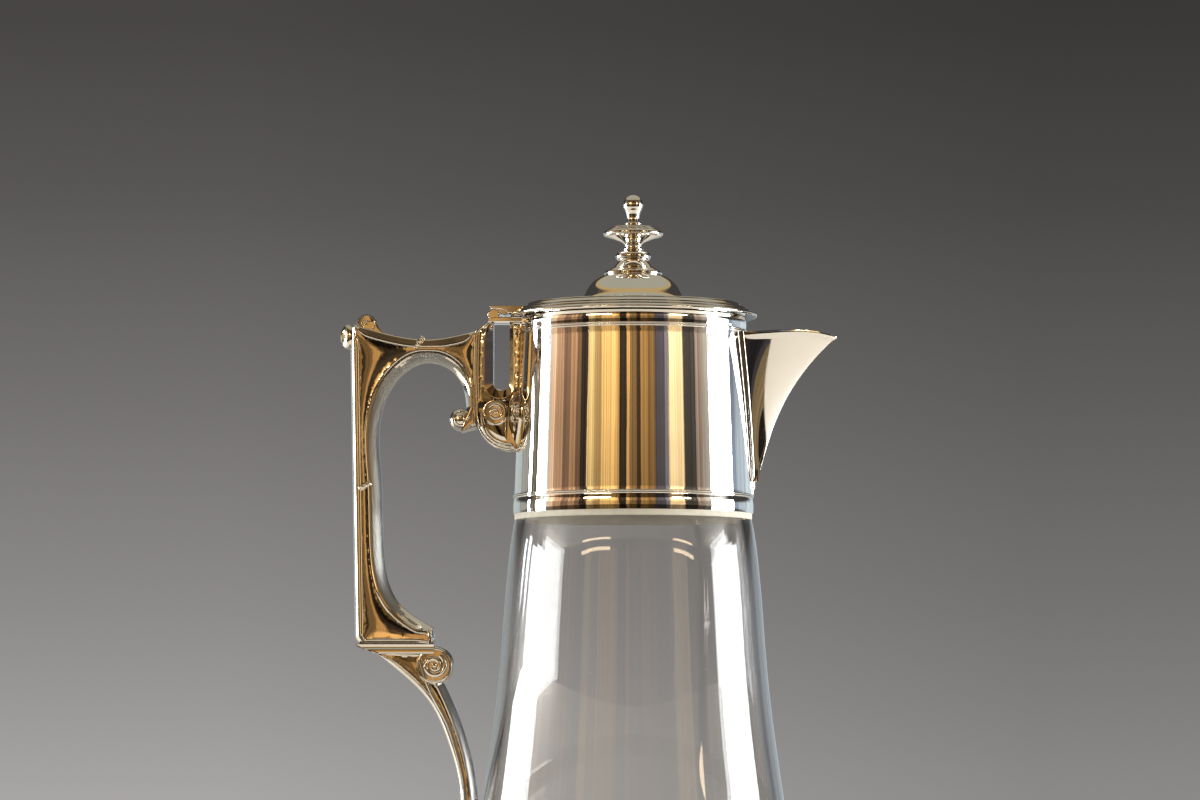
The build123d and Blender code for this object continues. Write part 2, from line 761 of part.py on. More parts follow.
def handle_stirrup():
    """Looped bracket between the handle and the collar, under the hinge."""
    top_drop_here = collar_head_z - hinge_base_z
    inside_reach = joint_x + collar_head_radius / 2
    outline = (
        Line(at(inside_reach, top_drop_here), at(0, top_drop_here))
        + Line(at(0, top_drop_here), at(0, stirrup_scroll_drop))
        + Spline(at(0, stirrup_scroll_drop), at(-2.5, 0.9 * stirrup_depth),
                 at(-0.77 * stirrup_reach, stirrup_depth), tangents=[(0, -1), (1, 0)])
        + Polyline(at(-0.77 * stirrup_reach, stirrup_depth), at(inside_reach, stirrup_depth),
                   at(inside_reach, top_drop_here))
    )
    window_x = joint_x + stirrup_post + stirrup_window_width / 2
    window_low_z = collar_head_z - stirrup_window_drop
    window_height = hinge_base_z - window_low_z + stirrup_round
    window = Pos(window_x, window_low_z + window_height / 2) * RectangleRounded(
        stirrup_window_width, window_height, stirrup_round)
    loop = extrude(xz(make_face(outline) - window), stirrup_thickness / 2, both=True)
    loop = softened(loop, stirrup_thickness, stirrup_round, is_stirrup_joint)
    hinge_end = (hinge_x - barrel_radius, hinge_base_z)
    loop -= slab(Polyline(at(0, top_drop), hinge_end, at(0, top_drop_here), close=True),
                 2 * stirrup_thickness)
    loop += scroll(at(-0.44 * stirrup_reach, stirrup_scroll_drop), stirrup_scroll_radius,
                   stirrup_thickness + 2 * scroll_proud)
    return loop - collar_filled() - collar_pad() - reed(upper_reed_z)


# --------------------------------------------------------------------- tail
def between(start, end, across, along):
    """Point part-way from start to end, by its own share in x and in z."""
    return (start[0] + across * (end[0] - start[0]), start[1] + along * (end[1] - start[1]))


def tail_outline():
    frame_out = at(grip_reach - grip_lean - corner_chamfer, frame_drop)
    frame_in = at(grip_reach - grip_lean - frame_foot_length, frame_drop)
    elbow_out = at(0.366 * grip_reach, frame_drop + elbow_outer_drop)
    elbow_in = at(0.366 * grip_reach - elbow_width, frame_drop + elbow_inner_drop)
    end_z = girdle_foot_z + 1.4
    end_out = (-(saddle_radius + tail_width / 2), end_z)
    end_in = (-girdle_seat_radius, end_z)
    outer = Spline(
        frame_out, between(frame_out, elbow_out, 0.46, 0.29), elbow_out,
        between(elbow_out, end_out, 0.56, 0.283), between(elbow_out, end_out, 0.91, 0.59), end_out)
    inner = Spline(
        end_in, between(elbow_in, end_in, 0.84, 0.572), between(elbow_in, end_in, 0.49, 0.269),
        elbow_in)
    toe = ThreePointArc(end_out, ((end_out[0] + end_in[0]) / 2, end_z - tail_width / 2), end_in)
    return outer + toe + inner + Polyline(elbow_in, frame_in, frame_out)


def is_tail_joint(point):
    return point.Z > frame_foot_z - nothing


def handle_tail():
    """Lower arm, from the scroll under the frame to the girdle on the glass."""
    outline = tail_outline()
    tail = softened(slab(outline, tail_thickness), tail_thickness, tail_round, is_tail_joint)
    for panel in sunk_panels(outline, tail_panel_inset, tail_thickness):
        tail -= panel
    elbow = at(0.325 * grip_reach, frame_drop + elbow_scroll_drop)
    tail += scroll(elbow, elbow_scroll_radius, tail_thickness + 2 * scroll_proud)
    tail -= slab(frame_outline(), 2 * handle_thickness)
    on_saddle = ring(0, body_radius + saddle_radius, 0, girdle_z + saddle_half_height)
    tail -= glass_outside(saddle_radius - girdle_seat_radius) & on_saddle
    return tail - glass_outside(tail_air)


def girdle_band():
    """Plated band around the glass, with a bead along each edge."""
    bead = girdle_height / 6
    layers = [(0.0, girdle_foot_z, girdle_top_z),
              (girdle_bead, girdle_foot_z, girdle_foot_z + bead),
              (girdle_bead, girdle_top_z - bead, girdle_top_z)]
    around = body_radius + tail_width
    band = Part()
    for grow, low, high in layers:
        band += glass_outside(girdle_wall + grow) & ring(0, around, low, high)
    return band - glass_outside()


def tail_saddle():
    """Oval plate between the tail and the girdle."""
    oval = Pos(0, girdle_z) * Ellipse(saddle_half_width, saddle_half_height)
    plate = extrude(Plane.YZ * oval, -(body_radius + tail_width))
    plate &= glass_outside(saddle_radius - girdle_seat_radius)
    return plate - glass_outside(girdle_wall) - girdle_band()


pieces = {
    "glass_body": glass_body,
    "neck_cement": neck_cement,
    "collar_sleeve": collar_sleeve,
    "collar_seat_ring": collar_seat_ring,
    "upper_reed": lambda: reed(upper_reed_z),
    "lower_reed": lambda: reed(lower_reed_z),
    "spout_beak": spout_beak,
    "spout_flange": spout_flange,
    "hinge_base": hinge_base,
    "hinge_pin": hinge_pin,
    "collar_pad": collar_pad,
    "handle_stirrup": handle_stirrup,
    "handle_frame": handle_frame,
    "handle_ties": handle_ties,
    "handle_tail": handle_tail,
    "girdle_band": girdle_band,
    "tail_saddle": tail_saddle,
    "lid_plate": lid_plate,
    "lid_bezel": lid_bezel,
    "lid_boss": lid_boss,
    "lid_leaf": lid_leaf,
    "finial_foot": finial_foot,
    "finial_saucer": finial_saucer,
    "finial_knop": finial_knop,
    "finial_stud": finial_stud,
    "finial_washer": finial_washer,
    "finial_nut": finial_nut,
}

os.makedirs("parts", exist_ok=True)
for name, make in pieces.items():
    export_step(make(), f"parts/{name}.step")
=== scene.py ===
import json
from math import asin, atan, cos, pi, radians, sin, sqrt

import bmesh
import bpy
import numpy as np
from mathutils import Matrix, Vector
from mathutils.geometry import delaunay_2d_cdt


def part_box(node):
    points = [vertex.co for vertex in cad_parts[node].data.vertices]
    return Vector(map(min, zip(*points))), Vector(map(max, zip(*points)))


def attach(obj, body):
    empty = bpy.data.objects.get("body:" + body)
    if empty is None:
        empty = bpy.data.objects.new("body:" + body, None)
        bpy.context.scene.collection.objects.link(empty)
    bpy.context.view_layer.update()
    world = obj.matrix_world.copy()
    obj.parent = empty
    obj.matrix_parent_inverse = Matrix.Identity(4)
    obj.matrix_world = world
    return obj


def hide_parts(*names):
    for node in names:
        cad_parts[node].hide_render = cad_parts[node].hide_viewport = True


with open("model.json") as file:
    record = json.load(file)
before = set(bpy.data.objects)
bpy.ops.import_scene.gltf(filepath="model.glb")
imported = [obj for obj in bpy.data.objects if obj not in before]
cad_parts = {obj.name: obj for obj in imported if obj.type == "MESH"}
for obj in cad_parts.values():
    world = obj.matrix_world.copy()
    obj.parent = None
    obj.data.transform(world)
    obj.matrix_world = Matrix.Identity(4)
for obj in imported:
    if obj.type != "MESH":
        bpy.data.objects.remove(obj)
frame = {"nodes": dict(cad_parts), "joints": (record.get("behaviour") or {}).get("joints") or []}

# Claret jug. Sizes are in millimetres and become metres where a mesh is made.
# +Z is up, the handle points to -X, the spout to +X and the jug's show side to -Y.

MM = 0.001
X, Y, Z = 0, 1, 2
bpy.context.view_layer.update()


def low(node, axis=Z):
    """Lowest coordinate of a CAD node, in millimetres."""
    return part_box(node)[0][axis] / MM


def high(node, axis=Z):
    """Highest coordinate of a CAD node, in millimetres."""
    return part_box(node)[1][axis] / MM


# ------------------------------------------------------------------ sizes
TURNS = 192                       # facets round a turned piece
SHARP = radians(38)

collar_foot, collar_head = low("collar_sleeve"), high("collar_sleeve")
collar_foot_radius, collar_head_radius = high("collar_sleeve", X), 33.7
collar_wall = 0.9
glass_rim = high("glass_body")
shoulder, shoulder_radius = collar_foot - 1.0, 35.3
flank_stations = ((84.5, 9.7), (48.5, 5.0), (12.5, 2.05))  # how far below the shoulder, and outside it
neck_turn = 6.5                   # height over which the shoulder turns into the neck
neck_radius = 31.24
glass_wall = 3.0
glass_floor = 9.0
body_radius = high("glass_body", X)
heel_radius = 13.0
reed_height = 1.1
lid_seat, lid_top = low("lid_plate"), high("lid_plate")
lid_radius = high("lid_plate", X)
boss_top = high("lid_boss")
stud_hole = 1.25                  # radius of the hole through lid and finial
star_radius, star_depth, star_half = 34.0, 1.3, 2.6        # cuts in the underside
hinge = [v / MM for v in frame["joints"][0]["pos_m"]]
hinge_width = high("hinge_pin", Y) - low("hinge_pin", Y)
barrel_radius = 1.8
joint_x = high("handle_frame", X)  # where the handle meets its bracket
joint_top, joint_heel = 238.6, 214.2   # heights where the joint starts and turns into the pendant
frame_foot = low("handle_frame")
end_bands = ((collar_foot, low("lower_reed")), (high("upper_reed"), collar_head))
spout_top = end_bands[1][0] - reed_height
spout_apex = high("lower_reed") + 3.5
spout_tip = high("spout_beak", X)
spout_mouth = 20.4                # width of the V at its top
grip_outer = joint_x - 38.1
plate_half = 5.5                  # half the thickness of handle and bracket
curl_place = (-51.9, 212.0)       # centre of the curl at the end of the arch
tail_half = 4.7


def collar_radius(z):
    """Radius of the collar's plain cone at a height."""
    share = (z - collar_foot) / (collar_head - collar_foot)
    return collar_foot_radius + share * (collar_head_radius - collar_foot_radius)


# ---------------------------------------------------------------- outlines
def collar_face(z):
    """Radius of the collar's skin: its two end bands swell a little."""
    swell = 0.0
    for foot, head in end_bands:
        if foot < z < head:
            swell = 0.22 * (1 - (2 * (z - foot) / (head - foot) - 1)**2)
    return collar_radius(z) + swell


def arc(centre, radius, start, end, steps=8):
    """Points round a centre, from one angle in degrees to another."""
    turn = np.radians(np.linspace(start, end, steps + 1))
    return [(centre[0] + radius * cos(t), centre[1] + radius * sin(t)) for t in turn]


def through(points, leave=None, arrive=None, step=1.0):
    """A smooth curve through points, with its directions at the ends where they matter."""
    p = np.array(points, float)
    chord = np.linalg.norm(np.diff(p, axis=0), axis=1)
    count = len(p)
    system = np.zeros((count, count))
    right = np.zeros_like(p)
    for i in range(1, count - 1):
        a, b = chord[i - 1], chord[i]
        system[i, i - 1:i + 2] = b, 2 * (a + b), a
        right[i] = 3 * (b * (p[i] - p[i - 1]) / a + a * (p[i + 1] - p[i]) / b)
    for i, inner, given in ((0, 1, leave), (count - 1, count - 2, arrive)):
        system[i, i] = 1
        if given is None:
            system[i, i], system[i, inner] = 2, 1
            right[i] = 3 * (p[max(i, inner)] - p[min(i, inner)]) / chord[min(i, inner)]
        else:
            right[i] = np.array(given) / np.linalg.norm(given)
    slopes = np.linalg.solve(system, right)
    path = []
    for i, length in enumerate(chord):
        pieces = max(1, int(round(length / step)))
        for j in range(pieces + (i == count - 2)):
            t = j / pieces
            blend = (2 * t**3 - 3 * t**2 + 1, t**3 - 2 * t**2 + t, 3 * t**2 - 2 * t**3, t**3 - t**2)
            point = (blend[0] * p[i] + blend[1] * length * slopes[i]
                     + blend[2] * p[i + 1] + blend[3] * length * slopes[i + 1])
            path.append(tuple(point))
    return path


def straight(start, end, step=1.0):
    """Evenly spaced points on a straight line."""
    pieces = max(1, int(round(np.hypot(end[0] - start[0], end[1] - start[1]) / step)))
    return [tuple(np.array(start) + (np.array(end) - start) * i / pieces) for i in range(pieces + 1)]


def joined(*stretches):
    """One list of points, without the ones that two stretches share."""
    path = []
    for stretch in stretches:
        for point in stretch:
            if not path or np.hypot(point[0] - path[-1][0], point[1] - path[-1][1]) > 1e-4:
                path.append((float(point[0]), float(point[1])))
    if np.hypot(path[0][0] - path[-1][0], path[0][1] - path[-1][1]) < 1e-4:
        path.pop()
    return path


# ------------------------------------------------------------------ meshes
def solid(name, vertices, faces, merge=1e-3, outward=True):
    """A mesh object from points in millimetres."""
    mesh = bpy.data.meshes.new(name)
    mesh.from_pydata([tuple(MM * c for c in v) for v in vertices], [], faces)
    shape = bmesh.new()
    shape.from_mesh(mesh)
    bmesh.ops.remove_doubles(shape, verts=shape.verts, dist=merge * MM)
    bmesh.ops.dissolve_degenerate(shape, edges=shape.edges, dist=merge * MM / 10)
    if outward:
        bmesh.ops.recalc_face_normals(shape, faces=shape.faces)
    shape.to_mesh(mesh)
    shape.free()
    mesh.shade_smooth()
    mesh.set_sharp_from_angle(angle=SHARP)
    thing = bpy.data.objects.new(name, mesh)
    bpy.context.scene.collection.objects.link(thing)
    return thing


def turned(name, outline, turns=TURNS):
    """A closed outline of (radius, height) turned round the jug's axis."""
    vertices = []
    for i in range(turns):
        angle = 2 * pi * i / turns
        vertices += [(r * cos(angle), r * sin(angle), z) for r, z in outline]
    faces = grid_faces(turns, len(outline), closed_rows=True, closed_columns=True)
    return solid(name, vertices, faces)


def grid_faces(rows, columns, closed_rows=False, closed_columns=False):
    """Quads of a grid whose points are listed row by row. A closed grid meets its own start."""
    faces = []
    for i in range(rows if closed_rows else rows - 1):
        here, there = i * columns, (i + 1) % rows * columns
        for j in range(columns if closed_columns else columns - 1):
            k = (j + 1) % columns
            faces.append((here + j, there + j, there + k, here + k))
    return faces


def ring_faces(rings, sides, ends=()):
    """Quads between rings of points, and a flat face over each ring that ends names."""
    faces = []
    for i in range(rings - 1):
        for j in range(sides):
            a, b = i * sides + j, i * sides + (j + 1) % sides
            faces.append((a, b, b + sides, a + sides))
    return faces + [tuple(range(i * sides, (i + 1) * sides)) for i in ends]


def swept(path, radii, sides=10):
    """Points and faces of a round bar along a path, with a radius for each point."""
    p = np.array(path, float)
    along = np.gradient(p, axis=0)
    along /= np.linalg.norm(along, axis=1)[:, None]
    across = np.cross(along, (0, 1, 0))
    across /= np.linalg.norm(across, axis=1)[:, None]
    up = np.cross(along, across)
    vertices = []
    for i, point in enumerate(p):
        for j in range(sides):
            turn = 2 * pi * j / sides
            vertices.append(point + radii[i] * (cos(turn) * across[i] + sin(turn) * up[i]))
    return vertices, ring_faces(len(p), sides, (0, len(p) - 1))


def knob(outline, centre, turns=64, tall=1.0):
    """Points and faces of an outline of (radius, y) turned round an axis along Y."""
    vertices = []
    for i in range(turns):
        angle = 2 * pi * i / turns
        vertices += [(centre[0] + r * cos(angle), y, centre[1] + tall * r * sin(angle))
                     for r, y in outline]
    return vertices, grid_faces(turns, len(outline), closed_rows=True)


def both_ends(end, middle=0.0):
    """A knob's whole outline, from the (radius, distance from its middle) of one end."""
    return [(r, middle - y) for r, y in end] + [(r, middle + y) for r, y in reversed(end)]


def together(*parts):
    """Several lists of points and faces as one."""
    vertices, faces = [], []
    for more_vertices, more_faces in parts:
        start = len(vertices)
        vertices += [tuple(v) for v in more_vertices]
        faces += [tuple(start + i for i in face) for face in more_faces]
    return vertices, faces


def mirrored(part):
    """The same part on the other side of the handle's plane."""
    vertices, faces = part
    return [(v[0], -v[1], v[2]) for v in vertices], [tuple(reversed(face)) for face in faces]


def both_sides(part):
    """A part and its mirror image."""
    return together(part, mirrored(part))


# --------------------------------------------------------- moulded plates
def bead_rails(start, width, foot, rise):
    """The (distance in, half thickness) of a round bead on a moulding."""
    return [(start + width * (0.5 - 0.5 * cos(t)), foot + rise * sin(t))
            for t in np.radians((0, 45, 90, 135, 180))]


def border(bulge, half, land=0.45, bead=0.55):
    """Edge moulding of a plate: a round bulge, a fine groove, a land, a bead and a small cove.

    Each entry is (distance in from the edge, half thickness there).
    """
    face = half - 0.15
    rounded = [(bulge * (1 - cos(t)), (face - 0.05) * sin(t))
               for t in np.radians((0, 12, 25, 38, 50, 62, 73, 82))]
    grooved = [(bulge + 0.06, face - 0.28), (bulge + 0.16, face - 0.04), (bulge + land, face)]
    beaded = bead_rails(bulge + land + 0.12, bead, face - 0.12, 0.27)
    return rounded + grooved + beaded + [(bulge + land + bead + 0.28, face - 0.5)]


def chamfered(bulge, half, land=0.45, bead=0.55):
    """Like border, but its bulge falls away steeply, almost as a chamfer."""
    steep = [(run * bulge, rise * (half - 0.15)) for run, rise in (
        (0, 0), (0, 0.22), (0.05, 0.33), (0.16, 0.46), (0.34, 0.62), (0.56, 0.77), (0.78, 0.895),
        (0.95, 0.975))]
    return steep + border(bulge, half, land, bead)[len(steep):]


def bevelled(run, half, drop=0.6, bead=0.5):
    """A bead, and outside it a shallow bevel that falls away to a crisp edge."""
    face = half - 0.15
    edge = [(0.0, (face - drop - 0.35) * i / 2) for i in range(3)]
    turn = [(0.08, face - drop - 0.12), (0.25, face - drop)]
    plane = [(0.25 + (run - 0.25) * t, face - drop + (drop - 0.1) * t) for t in (0.2, 0.4, 0.6, 0.8, 1)]
    beaded = bead_rails(run + 0.14, bead, face - 0.12, 0.27)
    return edge + turn + plane + [(run + 0.08, face - 0.32)] + beaded + [(run + bead + 0.3, face - 0.5)]


def plain_border(half):
    """The same number of rails on an edge that butts against a neighbour."""
    face = half - 0.15
    beaded = bead_rails(0.05, 0.5, face - 0.1, 0.25)
    steps = len(border(1, half)) - len(beaded) - 2
    return [(0.0, face * i / steps) for i in range(steps + 1)] + beaded + [(0.75, face - 0.5)]


def blended(first, second, share):
    """A moulding part-way between two."""
    return [(a[0] + share * (b[0] - a[0]), a[1] + share * (b[1] - a[1])) for a, b in zip(first, second)]


def edged(*stretches):
    """A closed path and the moulding of each of its edges, from (points, moulding, next moulding)."""
    points, mouldings = [], []
    for path, start, end in stretches:
        for i in range(len(path) - 1):
            points.append(path[i])
            mouldings.append(blended(start, end, i / max(1, len(path) - 2)))
    return points, mouldings


def inward_of(ahead):
    """Unit directions to the left of a path's steps."""
    ahead = ahead / np.linalg.norm(ahead, axis=1)[:, None]
    return np.stack([-ahead[:, 1], ahead[:, 0]], axis=1)


def fitted(points, mouldings):
    """The mouldings, narrowed where two edges of the plate lie close together."""
    p = np.array(points, float)
    inward = inward_of(np.roll(p, -1, axis=0) - np.roll(p, 1, axis=0))
    width = np.array([moulding[-1][0] for moulding in mouldings])
    share = np.ones(len(p))
    for i in range(len(p)):
        apart = p - p[i]
        distance = np.linalg.norm(apart, axis=1) + 1e-9
        facing = (apart @ inward[i] > 0.75 * distance) & (inward @ inward[i] < 0)
        if facing.any():
            j = int(np.argmin(np.where(facing, distance, 1e9)))
            share[i] = min(1, 0.94 * distance[j] / (width[i] + width[j]))
    for _ in range(8):
        share = np.minimum(share, (np.roll(share, 1) + share + np.roll(share, -1)) / 3)
    return [[(d * part, h) for d, h in moulding] for moulding, part in zip(mouldings, share)]


def rails_of(points, mouldings):
    """The rails of the mouldings along a closed path that has its metal on the left."""
    p = np.array(points, float)
    inward = inward_of(np.roll(p, -1, axis=0) - p)
    rails = np.zeros((len(p), len(mouldings[0]), 3))
    for i in range(len(p)):
        before, after = inward[i - 1], inward[i]
        first, second = np.array(mouldings[i - 1]), np.array(mouldings[i])
        turn = before[0] * after[1] - before[1] * after[0]
        d1, d2 = first[:, 0], second[:, 0]
        if abs(turn) < 0.17:
            middle = before + after
            middle /= np.linalg.norm(middle)
            offset = ((d1 + d2) / 2 / middle.dot(after))[:, None] * middle
        else:
            offset = np.stack([d1 * after[1] - d2 * before[1], d2 * before[0] - d1 * after[0]], axis=1)
            offset /= turn
        rails[i, :, 0] = p[i, 0] + offset[:, 0]
        rails[i, :, 2] = p[i, 1] + offset[:, 1]
        rails[i, :, 1] = (first[:, 1] + second[:, 1]) / 2
    return rails


def dished(rim, heights, depth, reach, spacing=0.45):
    """A sunk panel inside a rim: points (x, height, z) and triangles, hollowed like a dish."""
    box, count = np.array(rim), len(rim)
    lows, highs = box.min(axis=0), box.max(axis=0)
    across = np.arange(lows[0], highs[0], spacing)
    along = np.arange(lows[1], highs[1], spacing * 0.87)
    inner = np.array([(x + spacing / 2 * (j % 2), z) for j, z in enumerate(along) for x in across])
    near = np.full(len(inner), 1e9)
    for i in range(0, count, 64):
        gap = np.linalg.norm(inner[:, None] - box[None, i:i + 64], axis=2).min(axis=1)
        near = np.minimum(near, gap)
    points = [Vector(p) for p in rim] + [Vector(p) for p in inner[near > 0.55 * spacing]]
    edges = [(i, (i + 1) % count) for i in range(count)]
    where, _, faces, sources, _, _ = delaunay_2d_cdt(points, edges, [], 2, 1e-6)
    where = np.array([tuple(v) for v in where])
    rim_height = float(np.mean(heights))
    fixed = np.zeros(len(where), bool)
    height = np.full(len(where), rim_height)
    for i, origin in enumerate(sources):
        known = [k for k in origin if k < count]
        if known:
            fixed[i] = True
            height[i] = heights[known[0]]
    pairs = np.array([(f[i], f[(i + 1) % 3]) for f in faces for i in range(3)])
    pairs = np.concatenate([pairs, pairs[:, ::-1]])
    degree = np.bincount(pairs[:, 0], minlength=len(where)).clip(1)
    pull = depth / reach**2 * spacing**2 / 4
    hold = spacing**2 / 4 / reach**2
    for _ in range(700):
        mean = np.bincount(pairs[:, 0], weights=height[pairs[:, 1]], minlength=len(where)) / degree
        relaxed = (mean - pull + hold * rim_height) / (1 + hold)
        height = np.where(fixed, height, relaxed)
    used = sorted({i for face in faces for i in face})
    order = {i: k for k, i in enumerate(used)}
    vertices = [(where[i][0], height[i], where[i][1]) for i in used]
    return vertices, [tuple(order[i] for i in face) for face in faces]


def plate(edges, depth=0.5, reach=2.5):
    """A moulded plate, both sides, from the points of its outline and their mouldings."""
    points, mouldings = edges
    rails = rails_of(points, fitted(points, mouldings))
    rows, columns = rails.shape[:2]
    edge = [(x, -y, z) for x, y, z in rails.reshape(-1, 3)], grid_faces(rows, columns, closed_rows=True)
    rim = rails[:, -1]
    panel, faces = dished([(x, z) for x, _, z in rim], rim[:, 1], depth, reach)
    return both_sides(together(edge, ([(x, -y, z) for x, y, z in panel], faces)))


# --------------------------------------------------------------- materials
def put(tree, socket, value):
    """Give a socket its value, or the output that feeds it."""
    if isinstance(value, bpy.types.NodeSocket):
        tree.links.new(value, socket)
    else:
        socket.default_value = value


def fed(tree, made, **values):
    """Give a node's sockets, by name, their values or what feeds them."""
    for name, value in values.items():
        put(tree, made.inputs[name.replace("_", " ")], value)
    return made


def node(tree, kind, operation=None, **values):
    """A new shader node, its sockets given as in fed."""
    made = tree.nodes.new("ShaderNode" + kind)
    if operation:
        made.operation = operation
    return fed(tree, made, **values)


def maths(tree, operation, *values):
    """Result of an operation on numbers and other results."""
    made = node(tree, "Math", operation)
    for socket, value in zip(made.inputs, values):
        put(tree, socket, value)
    return made.outputs[0]


def mixed(tree, factor, first, second):
    """One colour that changes into another."""
    made = tree.nodes.new("ShaderNodeMix")
    made.data_type = "RGBA"
    return fed(tree, made, Factor=factor, A=first, B=second).outputs["Result"]


def ramp(tree, stops, interpolation, value):
    """Colour at a value, from (position, colour) stops."""
    made = node(tree, "ValToRGB", Fac=value)
    made.color_ramp.interpolation = interpolation
    elements = made.color_ramp.elements
    elements[0].position, elements[0].color = stops[0]
    elements[1].position, elements[1].color = stops[-1]
    for position, colour in stops[1:-1]:
        elements.new(position).color = colour
    return made.outputs["Color"]


def pattern(tree, scale, detail, stretch=None):
    """Noise on the piece's own coordinates."""
    place = node(tree, "TexCoord").outputs["Object"]
    if stretch:
        place = node(tree, "Mapping", Vector=place, Scale=stretch).outputs["Vector"]
    return node(tree, "TexNoise", Vector=place, Scale=scale, Detail=detail).outputs["Fac"]


def new_material(name, **values):
    """A material, its node tree and its shader."""
    material = bpy.data.materials.new(name)
    material.use_nodes = True
    tree = material.node_tree
    return material, tree, fed(tree, tree.nodes["Principled BSDF"], **values)


def polish_group():
    """Colour, roughness and fine height of a hand-polished surface."""
    group = bpy.data.node_groups.new("hand_polish", "ShaderNodeTree")
    for name, kind in (("Bright", "Color"), ("Dull", "Color"), ("Dulling", "Float"),
                       ("Smooth", "Float"), ("Rough", "Float")):
        group.interface.new_socket(name=name, in_out="INPUT", socket_type="NodeSocket" + kind)
    for name, kind in (("Color", "Color"), ("Roughness", "Float"), ("Height", "Float")):
        group.interface.new_socket(name=name, in_out="OUTPUT", socket_type="NodeSocket" + kind)
    given = group.nodes.new("NodeGroupInput").outputs
    clouds = node(group, "MapRange", Value=pattern(group, 45, 3), From_Min=0.45, From_Max=0.75)
    grain = node(group, "MapRange", Value=pattern(group, 700, 4), From_Min=0.35, From_Max=0.7,
                 To_Min=given["Smooth"], To_Max=given["Rough"])
    dulled = maths(group, "MULTIPLY", clouds.outputs["Result"], given["Dulling"])
    fed(group, group.nodes.new("NodeGroupOutput"), Roughness=grain.outputs["Result"],
        Color=mixed(group, dulled, given["Bright"], given["Dull"]), Height=pattern(group, 60, 1))
    return group


def polished(name, group, bright, dull, dulling, smooth, rough, ripple=0.02):
    """A polished metal. ripple is the height of its hand-worked waves, in millimetres."""
    material, tree, shader = new_material(name, Metallic=1.0)
    finish = tree.nodes.new("ShaderNodeGroup")
    finish.node_tree = group
    fed(tree, finish, Bright=(*bright, 1), Dull=(*dull, 1), Dulling=dulling, Smooth=smooth, Rough=rough)
    bump = node(tree, "Bump", Strength=1.0, Distance=ripple * MM, Height=finish.outputs["Height"])
    fed(tree, shader, Base_Color=finish.outputs["Color"], Roughness=finish.outputs["Roughness"],
        Normal=bump.outputs["Normal"])
    return material


def clear_glass():
    """Clear glass with slow waves, drawn out along the height."""
    material, tree, shader = new_material("clear_glass", Base_Color=(0.99, 0.985, 0.975, 1), IOR=1.5,
                                          Roughness=0.0, Transmission_Weight=1.0)
    waves = pattern(tree, 30, 1, stretch=(1, 1, 0.25))
    bump = node(tree, "Bump", Strength=1.0, Distance=0.12 * MM, Height=waves)
    fed(tree, shader, Normal=bump.outputs["Normal"])
    return material


def plaster():
    """Cream plaster with a fine grain."""
    material, tree, shader = new_material("cream_plaster", Roughness=0.7)
    grain = pattern(tree, 350, 4)
    tone = ramp(tree, [(0, (0.60, 0.56, 0.45, 1)), (1, (0.83, 0.80, 0.70, 1))], "LINEAR", grain)
    bump = node(tree, "Bump", Distance=0.1 * MM, Height=grain)
    fed(tree, shader, Base_Color=tone, Normal=bump.outputs["Normal"])
    return material


polish = polish_group()
silver = polished("silver_plate", polish, (0.95, 0.93, 0.89), (0.88, 0.83, 0.73), 0.35, 0.02, 0.05)
cast_silver = polished("cast_silver", polish, (0.93, 0.89, 0.82), (0.80, 0.70, 0.52), 0.5, 0.035, 0.08)
# A rough satin silver. Its dark colour is painted shade, for faces turned towards the jug.
satin_with_painted_shade = polished("satin_with_painted_shade", polish, (0.34, 0.34, 0.33), (0.30, 0.30, 0.29), 0.5, 0.38, 0.44)
# A dark silver whose colour is painted shade, for faces inside and under the stirrup's window.
window_painted_shade = polished("painted_shade_silver", polish, (0.22, 0.21, 0.19), (0.15, 0.14, 0.12), 0.5, 0.25, 0.4)
brass = polished("fixing_brass", polish, (0.80, 0.60, 0.28), (0.45, 0.33, 0.16), 0.8, 0.22, 0.4, 0.05)
glass = clear_glass()
cream = plaster()


def placed(thing, nodes, body, material):
    """Give a finished piece its metal, its body and the nodes it stands for."""
    thing.data.materials.clear()
    thing.data.materials.append(material)
    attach(thing, body)
    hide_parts(*nodes)
    return thing


def ring(name, outline, node, body, turns=TURNS):
    """A turned silver piece that stands for one node."""
    placed(turned(name, outline, turns), [node], body, silver)


def paint_shade_on_faces(thing, metal, chosen):
    """Paint shade: give a darker metal to the faces whose normal is chosen."""
    thing.data.materials.append(metal)
    for face in thing.data.polygons:
        if chosen(face.normal):
            face.material_index = 1
    return thing


def thickened(thing, wall):
    """Give a sheet its wall, inwards, and keep the result as a plain mesh."""
    shell = thing.modifiers.new("wall", "SOLIDIFY")
    shell.thickness = wall * MM
    shell.offset = -1
    shell.use_even_offset = True
    bpy.context.view_layer.update()
    seen = thing.evaluated_get(bpy.context.evaluated_depsgraph_get())
    mesh = bpy.data.meshes.new_from_object(seen)
    thing.modifiers.clear()
    thing.data = mesh
    mesh.shade_smooth()
    mesh.set_sharp_from_angle(angle=SHARP)
    return thing


# -------------------------------------------------------------- glass body
def glass_side(inset, low_z):
    """Side of the glass from the heel to the neck, set in by inset."""
    top, lean = (shoulder_radius - inset, shoulder), (-0.25, 1)
    stations = [(shoulder_radius + out - inset, shoulder - drop) for drop, out in flank_stations]
    flank = through([(body_radius - inset, low_z), *stations, top], leave=(-0.1, 1), arrive=lean,
                    step=2.0)
    turn = through([top, (neck_radius - inset, shoulder + neck_turn)], leave=lean, arrive=(0, 1),
                   step=0.8)
    return joined(flank, turn, straight(turn[-1], (neck_radius - inset, glass_rim - 1.5), 3.0))


def glass_radius(z):
    """Outer radius of the glass at a height."""
    side = glass_side(0, heel_radius)
    return float(np.interp(z, [p[1] for p in side], [p[0] for p in side]))


def star_cut(x, y):
    """Depth of the star cut into the underside at a point."""
    angle, radius = np.arctan2(y, x), np.hypot(x, y)
    cuts = [star_depth * (1 - abs(radius * sin(angle - i * pi / 8)) / star_half) for i in range(8)]
    return max(0.0, *cuts) if radius < star_radius else 0.0


